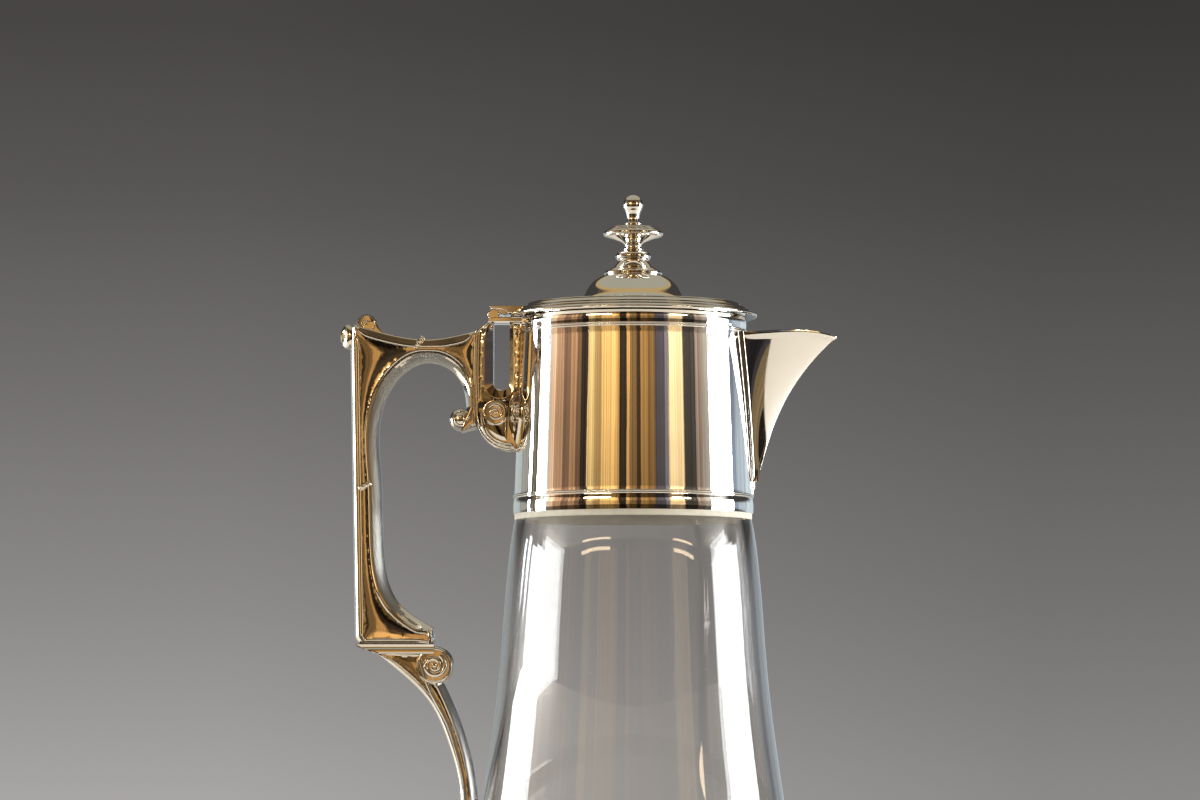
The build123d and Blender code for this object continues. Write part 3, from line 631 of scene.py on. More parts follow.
def glass_body():
    """The vessel, with the star cut into its underside."""
    wall_middle = neck_radius - glass_wall / 2
    inner_heel = heel_radius - glass_wall
    heel_x = body_radius - heel_radius
    foot_x = heel_x - 3.5
    outline = joined(
        straight((0, 1.0), (foot_x - 0.6, 1.0), 0.9), arc((foot_x - 0.5, 0.5), 0.5, 90, 0, 3),
        arc((foot_x + 0.5, 0.5), 0.5, 180, 270, 3), straight((foot_x + 0.5, 0), (heel_x, 0), 1.0),
        arc((heel_x, heel_radius), heel_radius, -90, 0, 24), glass_side(0, heel_radius),
        arc((wall_middle, glass_rim - 1.5), 1.5, 0, 180, 10),
        glass_side(glass_wall, glass_floor + inner_heel)[::-1],
        arc((heel_x, glass_floor + inner_heel), inner_heel, 0, -90, 20),
        straight((heel_x, glass_floor), (0, glass_floor), 3.0))
    vessel = turned("glass_vessel", outline, turns=256)
    for vertex in vessel.data.vertices:
        x, y, z = (c / MM for c in vertex.co)
        if abs(z - 1.0) < 0.01:
            vertex.co.z += star_cut(x, y) * MM
    vessel.data.set_sharp_from_angle(angle=radians(25))
    placed(vessel, ["glass_body"], "jug", glass)


def cement():
    """Plaster between the neck and the collar, with the thin lip of it that shows."""
    side = [p for p in glass_side(-0.03, heel_radius) if p[1] > shoulder - 0.8]
    lip = collar_foot_radius - 0.25
    outline = joined(
        [(glass_radius(shoulder - 0.8) + 0.03, shoulder - 0.8)],
        arc((lip - 0.35, shoulder - 0.35), 0.35, -60, 0, 4),
        [(lip, collar_foot), (collar_foot_radius - collar_wall, collar_foot),
         (collar_radius(glass_rim) - collar_wall, glass_rim), (neck_radius + 0.03, glass_rim)],
        side[::-1])
    placed(turned("neck_plaster", outline), ["neck_cement"], "jug", cream)


# ------------------------------------------------------------------ collar
def v_half(z):
    """Half the width of the V on the collar, where the beak is soldered on."""
    return spout_mouth / 2 * (z - spout_apex) / (spout_top - spout_apex)


def collar():
    """Tapered sleeve with the pouring window behind the beak."""
    margin = 2.0                  # metal left above the glass and under the lid
    window_low, window_high = glass_rim + margin, spout_top - margin
    heights = sorted(set(np.round(np.concatenate([
        np.linspace(collar_foot, low("lower_reed"), 9), np.linspace(low("lower_reed"), window_low, 10),
        np.linspace(window_low, window_high, 16), [high("upper_reed")],
        np.linspace(high("upper_reed"), collar_head, 9)]), 4)))
    front, rest = 12, TURNS
    vertices, faces = [], []
    for z in heights:
        reach = min(max(z, window_low), window_high)
        edge = asin((v_half(reach) - 1.0) / collar_radius(reach))
        angles = list(np.linspace(-edge, edge, front + 1))[:-1]
        angles += list(np.linspace(edge, 2 * pi - edge, rest + 1))[:-1]
        vertices += [(collar_face(z) * cos(a), collar_face(z) * sin(a), z) for a in angles]
    columns = front + rest
    for i in range(len(heights) - 1):
        for j in range(columns):
            if j < front and window_low <= (heights[i] + heights[i + 1]) / 2 <= window_high:
                continue
            a, b = i * columns + j, i * columns + (j + 1) % columns
            faces.append((a, b, b + columns, a + columns))
    sleeve = thickened(solid("collar_sleeve_fine", vertices, faces), collar_wall)
    placed(sleeve, ["collar_sleeve"], "jug", silver)


def double_reed(name, node):
    """Two fine soldered wires side by side."""
    middle = (low(node) + high(node)) / 2
    wire, apart = 0.29, 0.27
    outline = [(collar_radius(middle - 0.55) - 0.3, middle - 0.55)]
    for z in (middle - apart, middle + apart):
        outline += arc((collar_radius(z) + 0.1, z), wire, -80, 80, 8)
    outline.append((collar_radius(middle + 0.55) - 0.3, middle + 0.55))
    ring(name, outline, node, "jug")


def seat_ring():
    """Ledge inside the head of the collar."""
    inner, base = collar_head_radius - collar_wall - 2.2, low("collar_seat_ring")
    outer = collar_head_radius - collar_wall + 0.02
    outline = joined([(inner + 0.3, base), (outer, base), (outer, collar_head)],
                     arc((inner + 0.3, collar_head - 0.3), 0.3, 90, 180, 4),
                     arc((inner + 0.3, base + 0.3), 0.3, 180, 270, 4))
    ring("seat_ring", outline, "collar_seat_ring", "jug")


# ------------------------------------------------------------------- spout
def keel_x(z):
    """Distance of the beak's keel from the axis."""
    rise = (z - spout_apex) / (spout_top - spout_apex)
    start = collar_radius(spout_apex) + 1.6
    return start + (spout_tip - start) * (0.45 * rise + 0.55 * rise**3)


def beak_point(across, z):
    """A point of the beak: across runs from one edge of the V (-1) round the keel (0) to the other."""
    half = max(v_half(z), 0.05)
    side_x = sqrt(collar_radius(z)**2 - half**2)
    along = 1 - abs(across)
    width = (1 - along**1.25)**0.86
    return (side_x + (keel_x(z) - side_x) * along, np.sign(across) * half * width, z)


def beak_top(x):
    """Height of the beak's top edge at a distance from the axis."""
    reach = (x - collar_head_radius) / (spout_tip - collar_head_radius)
    return spout_top + 1.0 * sin(min(max(reach, 0), 1)**1.1 * 2.45) / sin(2.45 * 0.62) \
        - 1.75 * max(reach, 0)**5


def beak_rows():
    """Shares of the beak's height: even rows, then the fine rows of its lip."""
    return list(np.linspace(0, 0.965, 44)) + [0.970, 0.973, 0.977, 0.983, 0.989, 0.994, 0.998, 1.0]


def beak_at(across, share):
    """A point of the beak's sheet, at a share of its height there."""
    z = spout_top
    for _ in range(8):
        z = spout_apex + 0.4 + share * (beak_top(beak_point(across, z)[0]) - spout_apex - 0.4)
    return beak_point(across, z)


def beak():
    """Sheet of the beak, with a fine raised lip along its top edge."""
    spread = np.linspace(-1, 1, 97)
    rows = beak_rows()
    sheet = np.array([[beak_at(np.sign(t) * abs(t)**1.6, share) for share in rows] for t in spread])
    outward = np.cross(np.gradient(sheet, axis=0), np.gradient(sheet, axis=1))
    outward /= np.linalg.norm(outward, axis=2)[:, :, None] + 1e-9
    if outward[len(spread) // 2, 30, 0] < 0:
        outward = -outward
    proud = np.interp(rows, (0.968, 0.974, 0.992, 1.0), (0, 0.25, 0.25, 0.08))
    proud = proud[None, :] * np.interp(np.abs(spread), (0.9, 1), (1, 0))[:, None]
    sheet += outward * proud[:, :, None]
    faces = grid_faces(len(spread), len(rows))
    skin = solid("spout_beak_fine", sheet.reshape(-1, 3), faces, outward=False)
    if skin.data.polygons[len(faces) // 2].normal.x < 0:
        skin.data.flip_normals()
    placed(thickened(skin, 0.9), ["spout_beak"], "jug", silver)


def spout_seam():
    """Moulded wire soldered along the V, from the reed below to the reed above."""
    profile = [(-0.35, 0.1), (-0.2, 0.55), (0.0, 0.85), (0.25, 0.92), (0.45, 0.7), (0.55, 0.38),
               (0.62, 0.28), (0.78, 0.33), (0.9, 0.12), (0.93, -0.15)]
    reaches, heights = zip(*profile)
    vertices, columns = [], 19
    levels = np.linspace(high("lower_reed") - 0.05, spout_top + 0.05, 90)
    for z in levels:
        start = max(-0.35, -v_half(z))
        for reach in np.linspace(start, 0.93, columns):
            radius = collar_radius(z) + np.interp(reach, reaches, heights)
            turn = asin(max(0.0, v_half(z) + reach) / collar_radius(z))
            vertices.append((radius * cos(turn), radius * sin(turn), z))
    side = vertices, grid_faces(len(levels), columns)
    placed(solid("spout_seam", *both_sides(side)), ["spout_flange"], "jug", silver)


# ----------------------------------------------------------------- scrolls
def coil(centre, start, sweep, reach, y, width, steps=90, sides=12):
    """A ridge that winds inwards, on both faces. reach, y and width are (at its start, at its end)."""
    share = np.arange(steps + 1) / steps
    angle = np.radians(start - sweep * share)
    out, height, radii = (first + (last - first) * share for first, last in (reach, y, width))
    path = [centre[0] + out * np.cos(angle), -height, centre[1] + out * np.sin(angle)]
    return both_sides(swept(np.stack(path, axis=1), radii, sides))


def volute(centre, radius, half, turns, start, ridge=0.1, reach=0.64, rim=0.15):
    """A rolled scroll seen end-on: its barrel, both dished ends and the spiral ridge on them."""
    end = [(0.0, half - 0.55), (0.4 * radius, half - 0.6), (0.78 * radius, half - 0.55),
           (0.82 * radius, half - 0.15 - rim), (0.86 * radius, half - rim),
           (0.9 * radius, half - 0.05 - rim),
           (0.935 * radius, half - 0.5), (0.965 * radius, half - 1.1), (0.99 * radius, half - 1.9),
           (radius, half - 2.8), (radius, half / 4)]
    spiral = coil(centre, start, 360 * turns, (radius * reach, radius * 0.17), (half - 0.5, half - 0.35),
                  (radius * ridge, radius * ridge * 0.65))
    eye = knob([(0.0, -half - 0.02), (0.07 * radius, 0.02 - half), (0.12 * radius, 0.2 - half),
                (0.14 * radius, 0.6 - half)], centre, 24)
    return together(knob(both_ends(end), centre, 96), spiral, both_sides(eye))


# ------------------------------------------------------------------ handle
def joint_line():
    """Where the handle meets its bracket, from the top down."""
    return through([(joint_x, joint_top), (joint_x - 0.3, 232.0), (joint_x - 0.35, 224.0),
                    (joint_x, joint_heel)], step=0.8)


def frame_edges():
    """Outline of the cast handle with the moulding of each edge."""
    top = through([(joint_x, joint_top), (-61.2, 236.0), (-76.1, 238.3), (-84.1, 240.6)], step=0.6)
    opening = through([(-59.8, 149.6), (-71.1, 158.1), (-74.9, 172.6), (-75.7, 193.6),
                       (-73.9, 219.2), (-62.6, 229.2), (-55.1, 227.1), (-51.3, 222.1),
                       (-50.1, 215.6)], step=0.6)
    crown = next(i for i, p in enumerate(opening) if p[0] > -60.0 and p[1] > 200)
    bottom = frame_foot + 2.5
    corner_foot, elbow, heel = (grip_outer, 235.4), (-83.5, 146.4), (-81.5, bottom)
    tip, notch = (-60.4, bottom), (-59.4, 145.6)
    curl_root, curl_foot, arch_foot = (-51.7, 212.2), (-51.7, 208.2), (joint_x, 209.1)
    upper, outer, inner = bevelled(1.9, plate_half), border(1.7, plate_half), chamfered(3.0, plate_half)
    slim, cut, toe = chamfered(1.8, plate_half), border(1.3, plate_half), border(0.9, plate_half)
    wall = plain_border(plate_half)
    return edged(
        (top, upper, upper),
        (straight(top[-1], corner_foot, 0.6), upper, outer),
        (straight(corner_foot, elbow, 1.0), outer, outer),
        (straight(elbow, heel, 0.6), outer, cut),
        (straight(heel, tip, 0.8), toe, toe),
        (straight(tip, notch, 0.5), toe, cut),
        (straight(notch, opening[0], 0.6), cut, cut),
        (opening[:crown + 1], inner, inner),
        (opening[crown:], inner, slim),
        (straight(opening[-1], curl_root, 0.6), slim, slim),
        (straight(curl_root, curl_foot, 0.6), slim, cut),
        (straight(curl_foot, arch_foot, 0.6), cut, cut),
        (joined([arch_foot], reversed(joint_line())), wall, wall))


def foot_moulding():
    """Cavetto and fillet under the frame, where the lower arm starts."""
    profile = [(plate_half - inset, z) for inset, z in (
        (0.35, 3.1), (0.38, 2.6), (0.55, 2.3), (0.6, 2.05), (0.45, 1.75), (0.2, 1.5), (0.12, 1.3),
        (0.02, 0.7), (0.1, 0.2), (0.3, 0.0))]
    section = [(-y, z) for y, z in profile] + profile[::-1]
    vertices = []
    places = np.linspace(-82.9, -59.6, 36)
    for x in places:
        depth = 2.6 * (1 - min(1.0, (x + 83.0) / 7.0)**0.8)
        vertices += [(x, y, frame_foot + max(z, depth)) for y, z in section]
    return vertices, ring_faces(len(places), len(section), (len(places) - 1,))


def corner_button():
    """Oval button on the outer corner, turned outwards, with a small pit."""
    ends = [(0.0, -0.72), (0.3, -0.75), (0.5, -0.93), (0.9, -0.96), (1.6, -0.88), (2.3, -0.66),
            (2.75, -0.25), (2.95, 0.4), (2.7, 1.2), (1.8, 2.4), (0.0, 2.8)]
    vertices, faces = knob(ends, (0, 0), 56, tall=1.22)
    turn = radians(-51)
    facing = [(x * cos(turn) - y * sin(turn) + grip_outer - 1.0, x * sin(turn) + y * cos(turn) - 2.4,
               z + 237.1) for x, y, z in vertices]
    return facing, faces


def corner():
    """The two buttons of the outer corner and the post between them."""
    post = knob([(0.0, -3.4), (1.4, -3.0), (1.9, -2.0), (1.9, 2.0), (1.4, 3.0), (0.0, 3.4)],
                (grip_outer - 0.9, 237.1), 40, tall=1.8)
    return together(both_sides(corner_button()), post)


def corner_scroll():
    """Scroll that rises behind the top moulding, with the web that leads up to it."""
    web = joined(through([(-71.0, 236.9), (-74.3, 238.0), (-76.7, 239.9), (-77.5, 241.8)], step=0.5),
                 [(-80.0, 241.8), (-82.5, 238.5), (-80.0, 236.4)])
    return together(bar(web, plate_half - 1.5, 0.35),
                    volute((-80.2, 240.9), 2.95, plate_half - 1.0, turns=0.9, start=-60, rim=-0.15))


def curl():
    """Ball-like end of the arch, with a crest that runs into its eye."""
    half = plate_half - 0.2
    end = [(0.0, half + 0.1), (0.8, half), (1.6, half - 0.35), (2.4, half - 1.1),
           (3.0, half - 2.1), (3.3, half - 3.4), (3.3, 0.5)]
    crest = coil(curl_place, 75, 400, (2.5, 0.6), (half - 0.95, half - 0.05), (0.5, 0.3), 39, 10)
    return together(knob(both_ends(end), curl_place), crest)


def handle():
    """The cast handle, with shade painted in a dark satin metal on the faces round its opening."""
    cast = together(plate(frame_edges(), depth=0.55, reach=3.0), foot_moulding(), corner(),
                    corner_scroll(), curl())
    piece = placed(solid("handle_frame_fine", *cast, merge=0.01), ["handle_frame"], "jug", cast_silver)
    # Painted shade: a dark satin metal on faces turned towards the jug or facing down.
    paint_shade_on_faces(piece, satin_with_painted_shade, lambda n: n.x > 0.45 and n.z < 0.6 or n.z < -0.6)


def knot(centre, tilt, length=4.4, width=1.8, proud=0.6):
    """Small band tied across the handle's borders, on both sides."""
    turn = radians(tilt)
    across, along = np.linspace(-1, 1, 13), np.linspace(-1, 1, 25)
    vertices = []
    for u in along:
        for v in across:
            rise = (1 - abs(v)**2.6) * (1 - abs(u)**6) * (1 - 0.25 * cos(5.5 * u)**8)
            x, z = u * length / 2, v * width / 2 * (1 - 0.15 * u * u)
            vertices.append((centre[0] + x * cos(turn) - z * sin(turn),
                             -(plate_half - 0.45 + (proud + 0.45) * rise),
                             centre[1] + x * sin(turn) + z * cos(turn)))
    return both_sides((vertices, grid_faces(len(along), len(across))))


def ties():
    """The two bands on each face of the handle."""
    pair = together(knot((-64.2, 235.0), 55), knot((-80.45, 192.05), 28))
    placed(solid("tie_knots", *pair, outward=False), ["handle_ties"], "jug", cast_silver)


# ----------------------------------------------------------------- stirrup
def pendant_line(out, bend, tip, step):
    """Underside of the bracket: from the joint, or a little out from it, down and round to its tip."""
    return through([(joint_x + out, joint_heel), bend, tip], leave=(0, -1), arrive=(1, 0), step=step)


def slope_border(half, run, drop):
    """A plane that falls away towards a crisp edge, for a post beside an opening."""
    rails = len(border(1, half))
    edge = [(0.0, (half - drop) * i / 5) for i in range(6)]
    plane = [(run * t, half - drop + (drop - 0.05) * t) for t in np.linspace(0, 1, rails - 6)[1:]]
    return edge + plane + [(run + 0.3, half - 0.02)]


def stirrup_edges():
    """Outline of the looped bracket, round its window, with the moulding of each edge."""
    half = plate_half - 0.5
    wall, pendant = plain_border(half), border(1.5, half, 0.25, 0.35)
    post, back = slope_border(half, 2.7, 0.68), slope_border(half, 1.3, 0.55)
    sill = slope_border(half, 2.2, 0.45)
    under = high("handle_stirrup") - 0.05
    left, right, foot, curve = -42.0, -37.0, 222.8, 2.2       # of the window
    tip = (-36.8, 202.5)
    near = [(-(collar_radius(z) - 0.6), z) for z in (202.5, 215, 228, 241.15)] + [(right, under)]
    return edged(
        (joint_line(), wall, wall),
        (pendant_line(0, (-44.9, 206.5), tip, 0.6), pendant, pendant),
        (straight(tip, near[0], 0.8), pendant, wall),
        *((straight(start, end), wall, wall) for start, end in zip(near, near[1:])),
        (straight((right, under), (right, foot)), back, back),
        (arc((right - curve, foot), curve, 0, -90, 14), back, sill),
        (straight((right - curve, foot - curve), (left + curve, foot - curve), 0.6), sill, sill),
        (arc((left + curve, foot), curve, -90, -180, 14), sill, post),
        (straight((left, foot), (left, under)), post, post),
        (straight((left, under), (-43.6, under), 0.5), wall, wall),
        (straight((-43.6, under), (joint_x, joint_top), 0.8), wall, wall))


def pendant_bulb():
    """Smooth swelling under the volute, with a keel towards the collar."""
    tip = (-36.9, 203.3)
    outline = joined(pendant_line(0.9, (-44.1, 207.2), tip, 0.5), straight(tip, (-36.4, 216.5), 0.8),
                     arc((-41.3, 216.5), 4.9, 0, 180, 14))
    centre = np.array([-40.4, 212.0])
    rings = [(1.0, 0.35), (0.97, 0.62), (0.88, 0.82), (0.72, 0.95), (0.5, 1.03), (0.25, 1.07)]
    vertices = []
    for share, rise in rings:
        for point in outline:
            x, z = centre + share * (np.array(point) - centre)
            vertices.append((x, -(plate_half - 1.1) * rise - 0.25, z))
    vertices.append((centre[0], -(plate_half - 1.1) * 1.08 - 0.25, centre[1]))
    count = len(outline)
    last, top = (len(rings) - 1) * count, len(rings) * count
    closing = [(last + i, last + (i + 1) % count, top) for i in range(count)]
    return vertices, ring_faces(len(rings), count) + closing


def outline_wires():
    """Bright wires along the bracket's outer contour, from the joint's top to the pendant's tip."""
    half = plate_half - 0.35
    contour = joined([(x + 0.25, z) for x, z in joint_line()],
                     pendant_line(0.25, (-44.6, 206.9), (-36.9, 203.0), 0.7))
    inner = [(x + 0.95, z) for x, z in joint_line() if z > 218]
    return together(*(both_sides(swept([(x, -half, z) for x, z in path], [radius] * len(path), 12))
                      for path, radius in ((contour, 0.34), (inner, 0.26))))


def stirrup():
    """The looped bracket, with shade painted in a dark metal inside its window."""
    loop = together(plate(stirrup_edges(), depth=0.25), both_sides(pendant_bulb()), outline_wires(),
                    volute((-41.3, 213.9), 4.0, plate_half + 0.3, turns=1.45, start=140, ridge=0.13,
                           reach=0.66))
    loop = placed(solid("stirrup_fine", *loop, merge=0.01), ["handle_stirrup"], "jug", cast_silver)
    # Painted shade: a dark metal on faces turned towards the collar or facing down.
    paint_shade_on_faces(loop, window_painted_shade, lambda n: n.x > 0.85 or n.z < -0.9)


def pad():
    """Fluted shield between the bracket and the collar."""
    foot, head = 203.5, 220.5
    side = through([(8.2, head), (10.0, 213.5), (7.6, 207.5), (4.4, foot)])
    profile = [(0.0, -0.1), (0.06, 0.4), (0.3, 0.62), (0.6, 0.6), (0.8, 0.45), (1.2, 0.6), (2.2, 1.0),
               (3.4, 1.7), (4.6, 2.4), (5.4, 2.8), (9.0, 2.9)]
    reaches, heights = zip(*profile)
    vertices, columns = [], 81
    for half, z in side:
        for t in np.linspace(-1, 1, columns):
            y = half * t
            inset = (1 - abs(t)) * half
            ends = min(1.0, (head - z) / 1.2 + 0.05, (z - foot) / 1.2 + 0.05)
            radius = collar_radius(z) + ends * np.interp(inset, reaches, heights) - 0.1
            turn = asin(y / collar_radius(z))
            vertices.append((-radius * cos(turn), radius * sin(turn), z))
    shield = solid("shield_pad", vertices, grid_faces(len(side), columns))
    placed(shield, ["collar_pad"], "jug", cast_silver)


# ------------------------------------------------------------------- hinge
def barrel(length, middle, groove=0.0):
    """A knuckle on the pin's axis, with rounded rims."""
    rim = 0.28
    end = [(0.0, length / 2 - groove), (barrel_radius - rim - 0.12, length / 2 - groove),
           (barrel_radius - rim, length / 2)]
    end += [(barrel_radius - rim + rim * sin(t), length / 2 - rim + rim * cos(t))
            for t in np.radians((30, 60, 90))]
    return knob(both_ends(end, middle), (hinge[X], hinge[Z]), 40)


def bar(profile, half, rim=0.25):
    """A flat profile of (x, z) made into a bar along Y with its rims rounded off."""
    p = np.array(profile, float)
    inward = inward_of(np.roll(p, -1, axis=0) - np.roll(p, 1, axis=0))
    rows = [(-half, rim + 0.06), (-half, rim), (-half + 0.3 * rim, 0.3 * rim), (-half + rim, 0.0),
            (half - rim, 0.0), (half - 0.3 * rim, 0.3 * rim), (half, rim), (half, rim + 0.06)]
    vertices = [(x, y, z) for y, inset in rows for x, z in p + inset * inward]
    return vertices, ring_faces(len(rows), len(profile), (0, len(rows) - 1))


def hinge_leaves():
    """Both leaves with their knuckles."""
    x, z, half = hinge[X], hinge[Z], hinge_width / 2
    side = (hinge_width - 5.0) / 2 - 0.3
    base_low, base_high = low("hinge_base"), collar_head
    inner = -(collar_head_radius - 0.5)
    crest = min(z - 0.25, lid_seat - 0.1)
    foot = [(x - 1.7, base_low), (inner, base_low), (inner, base_high), (inner - 1.0, crest),
            (x + 1.7, crest), (x + 1.0, z - 0.8), (x - 1.5, z - 1.0)]
    knuckles = [barrel(side, sign * (half - side / 2), 0.15) for sign in (-1, 1)]
    placed(solid("hinge_base_fine", *together(bar(foot, half), *knuckles)), ["hinge_base"], "jug",
           silver)
    top = z + 2.7
    lid_edge = -(lid_radius - 4.4)
    leaf = joined([(x - 0.75, top - 0.85), (x - 0.2, top - 0.95), (x + 1.4, top - 1.0)],
                  through([(x + 2.2, top - 1.0), (x + 3.3, top - 1.5), (x + 4.3, top - 2.2)], step=0.4),
                  [(lid_edge, lid_seat + 0.9), (lid_edge, top), (x - 0.6, top)],
                  arc((x - 0.75, top - 0.43), 0.42, 90, 260, 8))
    web = joined([(x - 0.9, z + 0.6), (x + 0.9, z + 0.2), (x + 1.95, z + 0.45)],
                 through([(x + 2.2, z + 0.3), (x + 3.3, z + 0.1), (x + 4.6, z + 0.3)], step=0.3),
                 [(x + 5.6, z + 0.75), (x + 5.6, top - 0.5), (x - 0.6, top - 0.5)])
    middle = together(bar(leaf, half), bar(web, half - 0.35, 0.1), barrel(4.9, 0))
    placed(solid("lid_leaf_fine", *middle), ["lid_leaf"], "lid", silver)


# -------------------------------------------------------------------- tail
def tail_edges():
    """Outline of the lower arm, kept clear of the glass, with the moulding of each edge."""
    def clear(point):
        gap = 2.7 if low("tail_saddle") < point[1] < high("tail_saddle") else 1.0
        return min(point[0], -(glass_radius(point[1]) + gap)), point[1]
    outer = through([(-77.0, frame_foot + 0.4), (-71.3, 137.4), (-61.05, 127.2), (-55.8, 116.1),
                     (-52.5, 104.1), (-51.7, 88.0)], step=0.7)
    inner = through([(-46.0, 88.0), (-47.7, 107.1), (-51.4, 120.6), (-56.55, 132.6),
                     (-61.6, frame_foot)], step=0.7)
    inner = [clear(p) for p in inner if p[1] > 88.5]
    toe = through([(-51.7, 88.0), (-50.6, 86.2), inner[0]], leave=(0, -1), step=0.6)
    left, right = border(1.1, tail_half, 0.2, 0.3), chamfered(1.7, tail_half, 0.2, 0.35)
    wall = plain_border(tail_half)
    return edged((outer, left, left), (toe, left, right), (inner, right, right),
                 (straight(inner[-1], outer[0]), wall, wall))


def tail():
    """The lower arm with its rib and the elbow scroll, with shade painted in a dark satin metal towards
    the glass.
    """
    ridge = through([(-63.6, 139.5), (-60.5, 130.3), (-55.6, 121.0), (-52.2, 110.0), (-50.3, 99.0),
                     (-50.0, 90.0)], step=0.8)
    widths = 0.75 - 0.35 * np.linspace(0, 1, len(ridge))
    rib = swept([(x, -(tail_half - 0.55), z) for x, z in ridge], widths)
    arm = together(plate(tail_edges()), both_sides(rib),
                   volute((-59.5, 138.2), 5.8, tail_half + 0.5, turns=1.6, start=60, ridge=0.16,
                          reach=0.6))
    arm = placed(solid("tail_fine", *arm, merge=0.01), ["handle_tail"], "jug", cast_silver)
    # Painted shade: a dark satin metal on faces turned towards the glass.
    paint_shade_on_faces(arm, satin_with_painted_shade, lambda n: n.x > 0.5)


def girdle():
    """Plated band round the glass, with a bead along each edge."""
    foot, head = low("girdle_band"), high("girdle_band")
    wall = 1.2
    line = [(glass_radius(z), z) for z in np.linspace(foot, head, 7)]
    bead = (head - foot) / 12
    outer = joined(
        arc((line[0][0] + wall - 0.05, foot + bead), bead, -90, 75, 8),
        [(r + wall, z) for r, z in line[1:-1]],
        arc((line[-1][0] + wall - 0.05, head - bead), bead, -75, 90, 8))
    ring("girdle", outer + line[::-1], "girdle_band", "jug")


def saddle():
    """Oval plate between the lower arm and the girdle."""
    middle = (low("tail_saddle") + high("tail_saddle")) / 2
    rings = [(0.999, 1.3), (1.0, 2.2), (0.96, 2.55), (0.9, 2.65), (0.84, 2.6), (0.8, 2.4), (0.76, 2.6),
             (0.6, 2.7), (0.3, 2.72)]
    vertices, sides = [], 72
    for share, height in rings:
        for i in range(sides):
            angle = 2 * pi * i / sides
            y, z = 8.5 * share * cos(angle), middle + 5.6 * share * sin(angle)
            radius = glass_radius(z) + height
            turn = asin(y / radius)
            vertices.append((-radius * cos(turn), radius * sin(turn), z))
    faces = ring_faces(len(rings), sides, (len(rings) - 1, 0))
    placed(solid("oval_saddle", vertices, faces), ["tail_saddle"], "jug", silver)


# --------------------------------------------------------------------- lid
def lid():
    """Spun lid with its flange and two fine steps."""
    inside = 30.5
    outline = joined(
        [(inside, lid_seat), (36.5, lid_seat)],
        arc((lid_radius - 0.5, lid_seat + 0.5), 0.5, -90, 90, 12),
        [(36.45, lid_seat + 1.0), (36.35, lid_seat + 0.9)],
        through([(36.2, lid_seat + 0.92), (35.6, lid_seat + 1.1), (35.3, lid_seat + 1.6)], step=0.2),
        arc((34.95, lid_seat + 1.65), 0.36, 10, 120, 8),
        through([(34.6, lid_seat + 1.85), (34.2, lid_seat + 2.1), (34.05, lid_seat + 2.45)], step=0.2),
        arc((33.75, lid_seat + 2.5), 0.3, 10, 120, 6),
        through([(33.45, lid_seat + 2.7), (32.6, lid_seat + 3.05), (32.1, lid_top - 0.4)],
                arrive=(-0.3, 1), step=0.2),
        arc((31.75, lid_top - 0.35), 0.35, 10, 90, 6),
        [(stud_hole, lid_top), (stud_hole, lid_top - 1.0), (inside, lid_top - 1.0)])
    ring("lid_top", outline, "lid_plate", "lid", 256)


def bezel():
    """Ring under the lid that finds the collar's mouth."""
    outer, wall, foot, head = 30.25, 0.9, low("lid_bezel"), high("lid_bezel")
    outline = joined([(outer, head), (outer - wall, head), (outer - wall, foot + 0.3)],
                     arc((outer - wall / 2, foot + 0.3), wall / 2, 180, 360, 8))
    ring("bezel", outline, "lid_bezel", "lid")


def boss():
    """Hollow cushion-shaped dome under the finial."""
    sheet = 0.9
    dome = through([(17.2, lid_top + 0.5), (16.3, lid_top + 0.75), (15.4, lid_top + 1.6),
                    (14.75, lid_top + 2.8), (13.75, lid_top + 4.75), (12.4, lid_top + 6.5),
                    (10.8, lid_top + 7.75), (9.0, boss_top)],
                   leave=(-1, 0.1), arrive=(-1, 0.25), step=0.3)
    inner = [(r - sheet * 0.8, z - sheet * 0.6) for r, z in dome if z > lid_top + 1.2]
    outline = joined([(15.2, lid_top), (17.6, lid_top)], arc((17.3, lid_top + 0.27), 0.28, -60, 80, 6),
                     dome, [(stud_hole, boss_top), (stud_hole, boss_top - sheet)], inner[::-1])
    ring("lid_dome", outline, "lid_boss", "lid")


def finial_foot():
    """Turned foot with a swelling under the stem."""
    base = boss_top
    foot = joined(
        [(stud_hole, base), (8.3, base)],
        arc((7.95, base + 0.75), 0.75, -60, 70, 12),
        [(7.95, base + 1.5)],
        through([(7.9, base + 1.5), (6.9, base + 2.15), (6.1, base + 2.6), (5.3, base + 3.4),
                 (4.5, base + 4.6)], step=0.2),
        arc((3.95, base + 5.9), 1.35, -60, 80, 16),
        [(3.3, base + 7.4), (2.9, base + 7.7), (stud_hole, base + 7.7)])
    ring("finial_foot_fine", foot, "finial_foot", "lid")


def finial_saucer():
    """Stem that flares into a saucer with a rounded rim and two steps."""
    base = boss_top + 7.7
    saucer = joined(
        [(stud_hole, base), (2.95, base)],
        arc((2.75, base + 0.3), 0.3, -60, 60, 6), [(2.55, base + 0.65)],
        through([(2.4, base + 1.1), (2.65, base + 1.8), (4.3, base + 2.9), (6.2, base + 3.6),
                 (7.85, base + 4.15)], step=0.3),
        arc((8.1, base + 5.05), 0.9, -85, 75, 18),
        [(8.2, base + 5.98), (8.0, base + 5.98)],
        arc((7.35, base + 6.1), 0.45, 0, 85, 8),
        [(7.25, base + 6.62), (6.9, base + 6.65)],
        arc((6.3, base + 6.75), 0.4, 0, 85, 8),
        through([(6.2, base + 7.2), (4.4, base + 7.5), (3.0, base + 7.65)], step=0.3),
        [(2.6, base + 7.8), (stud_hole, base + 7.8)])
    ring("finial_saucer_fine", saucer, "finial_saucer", "lid")


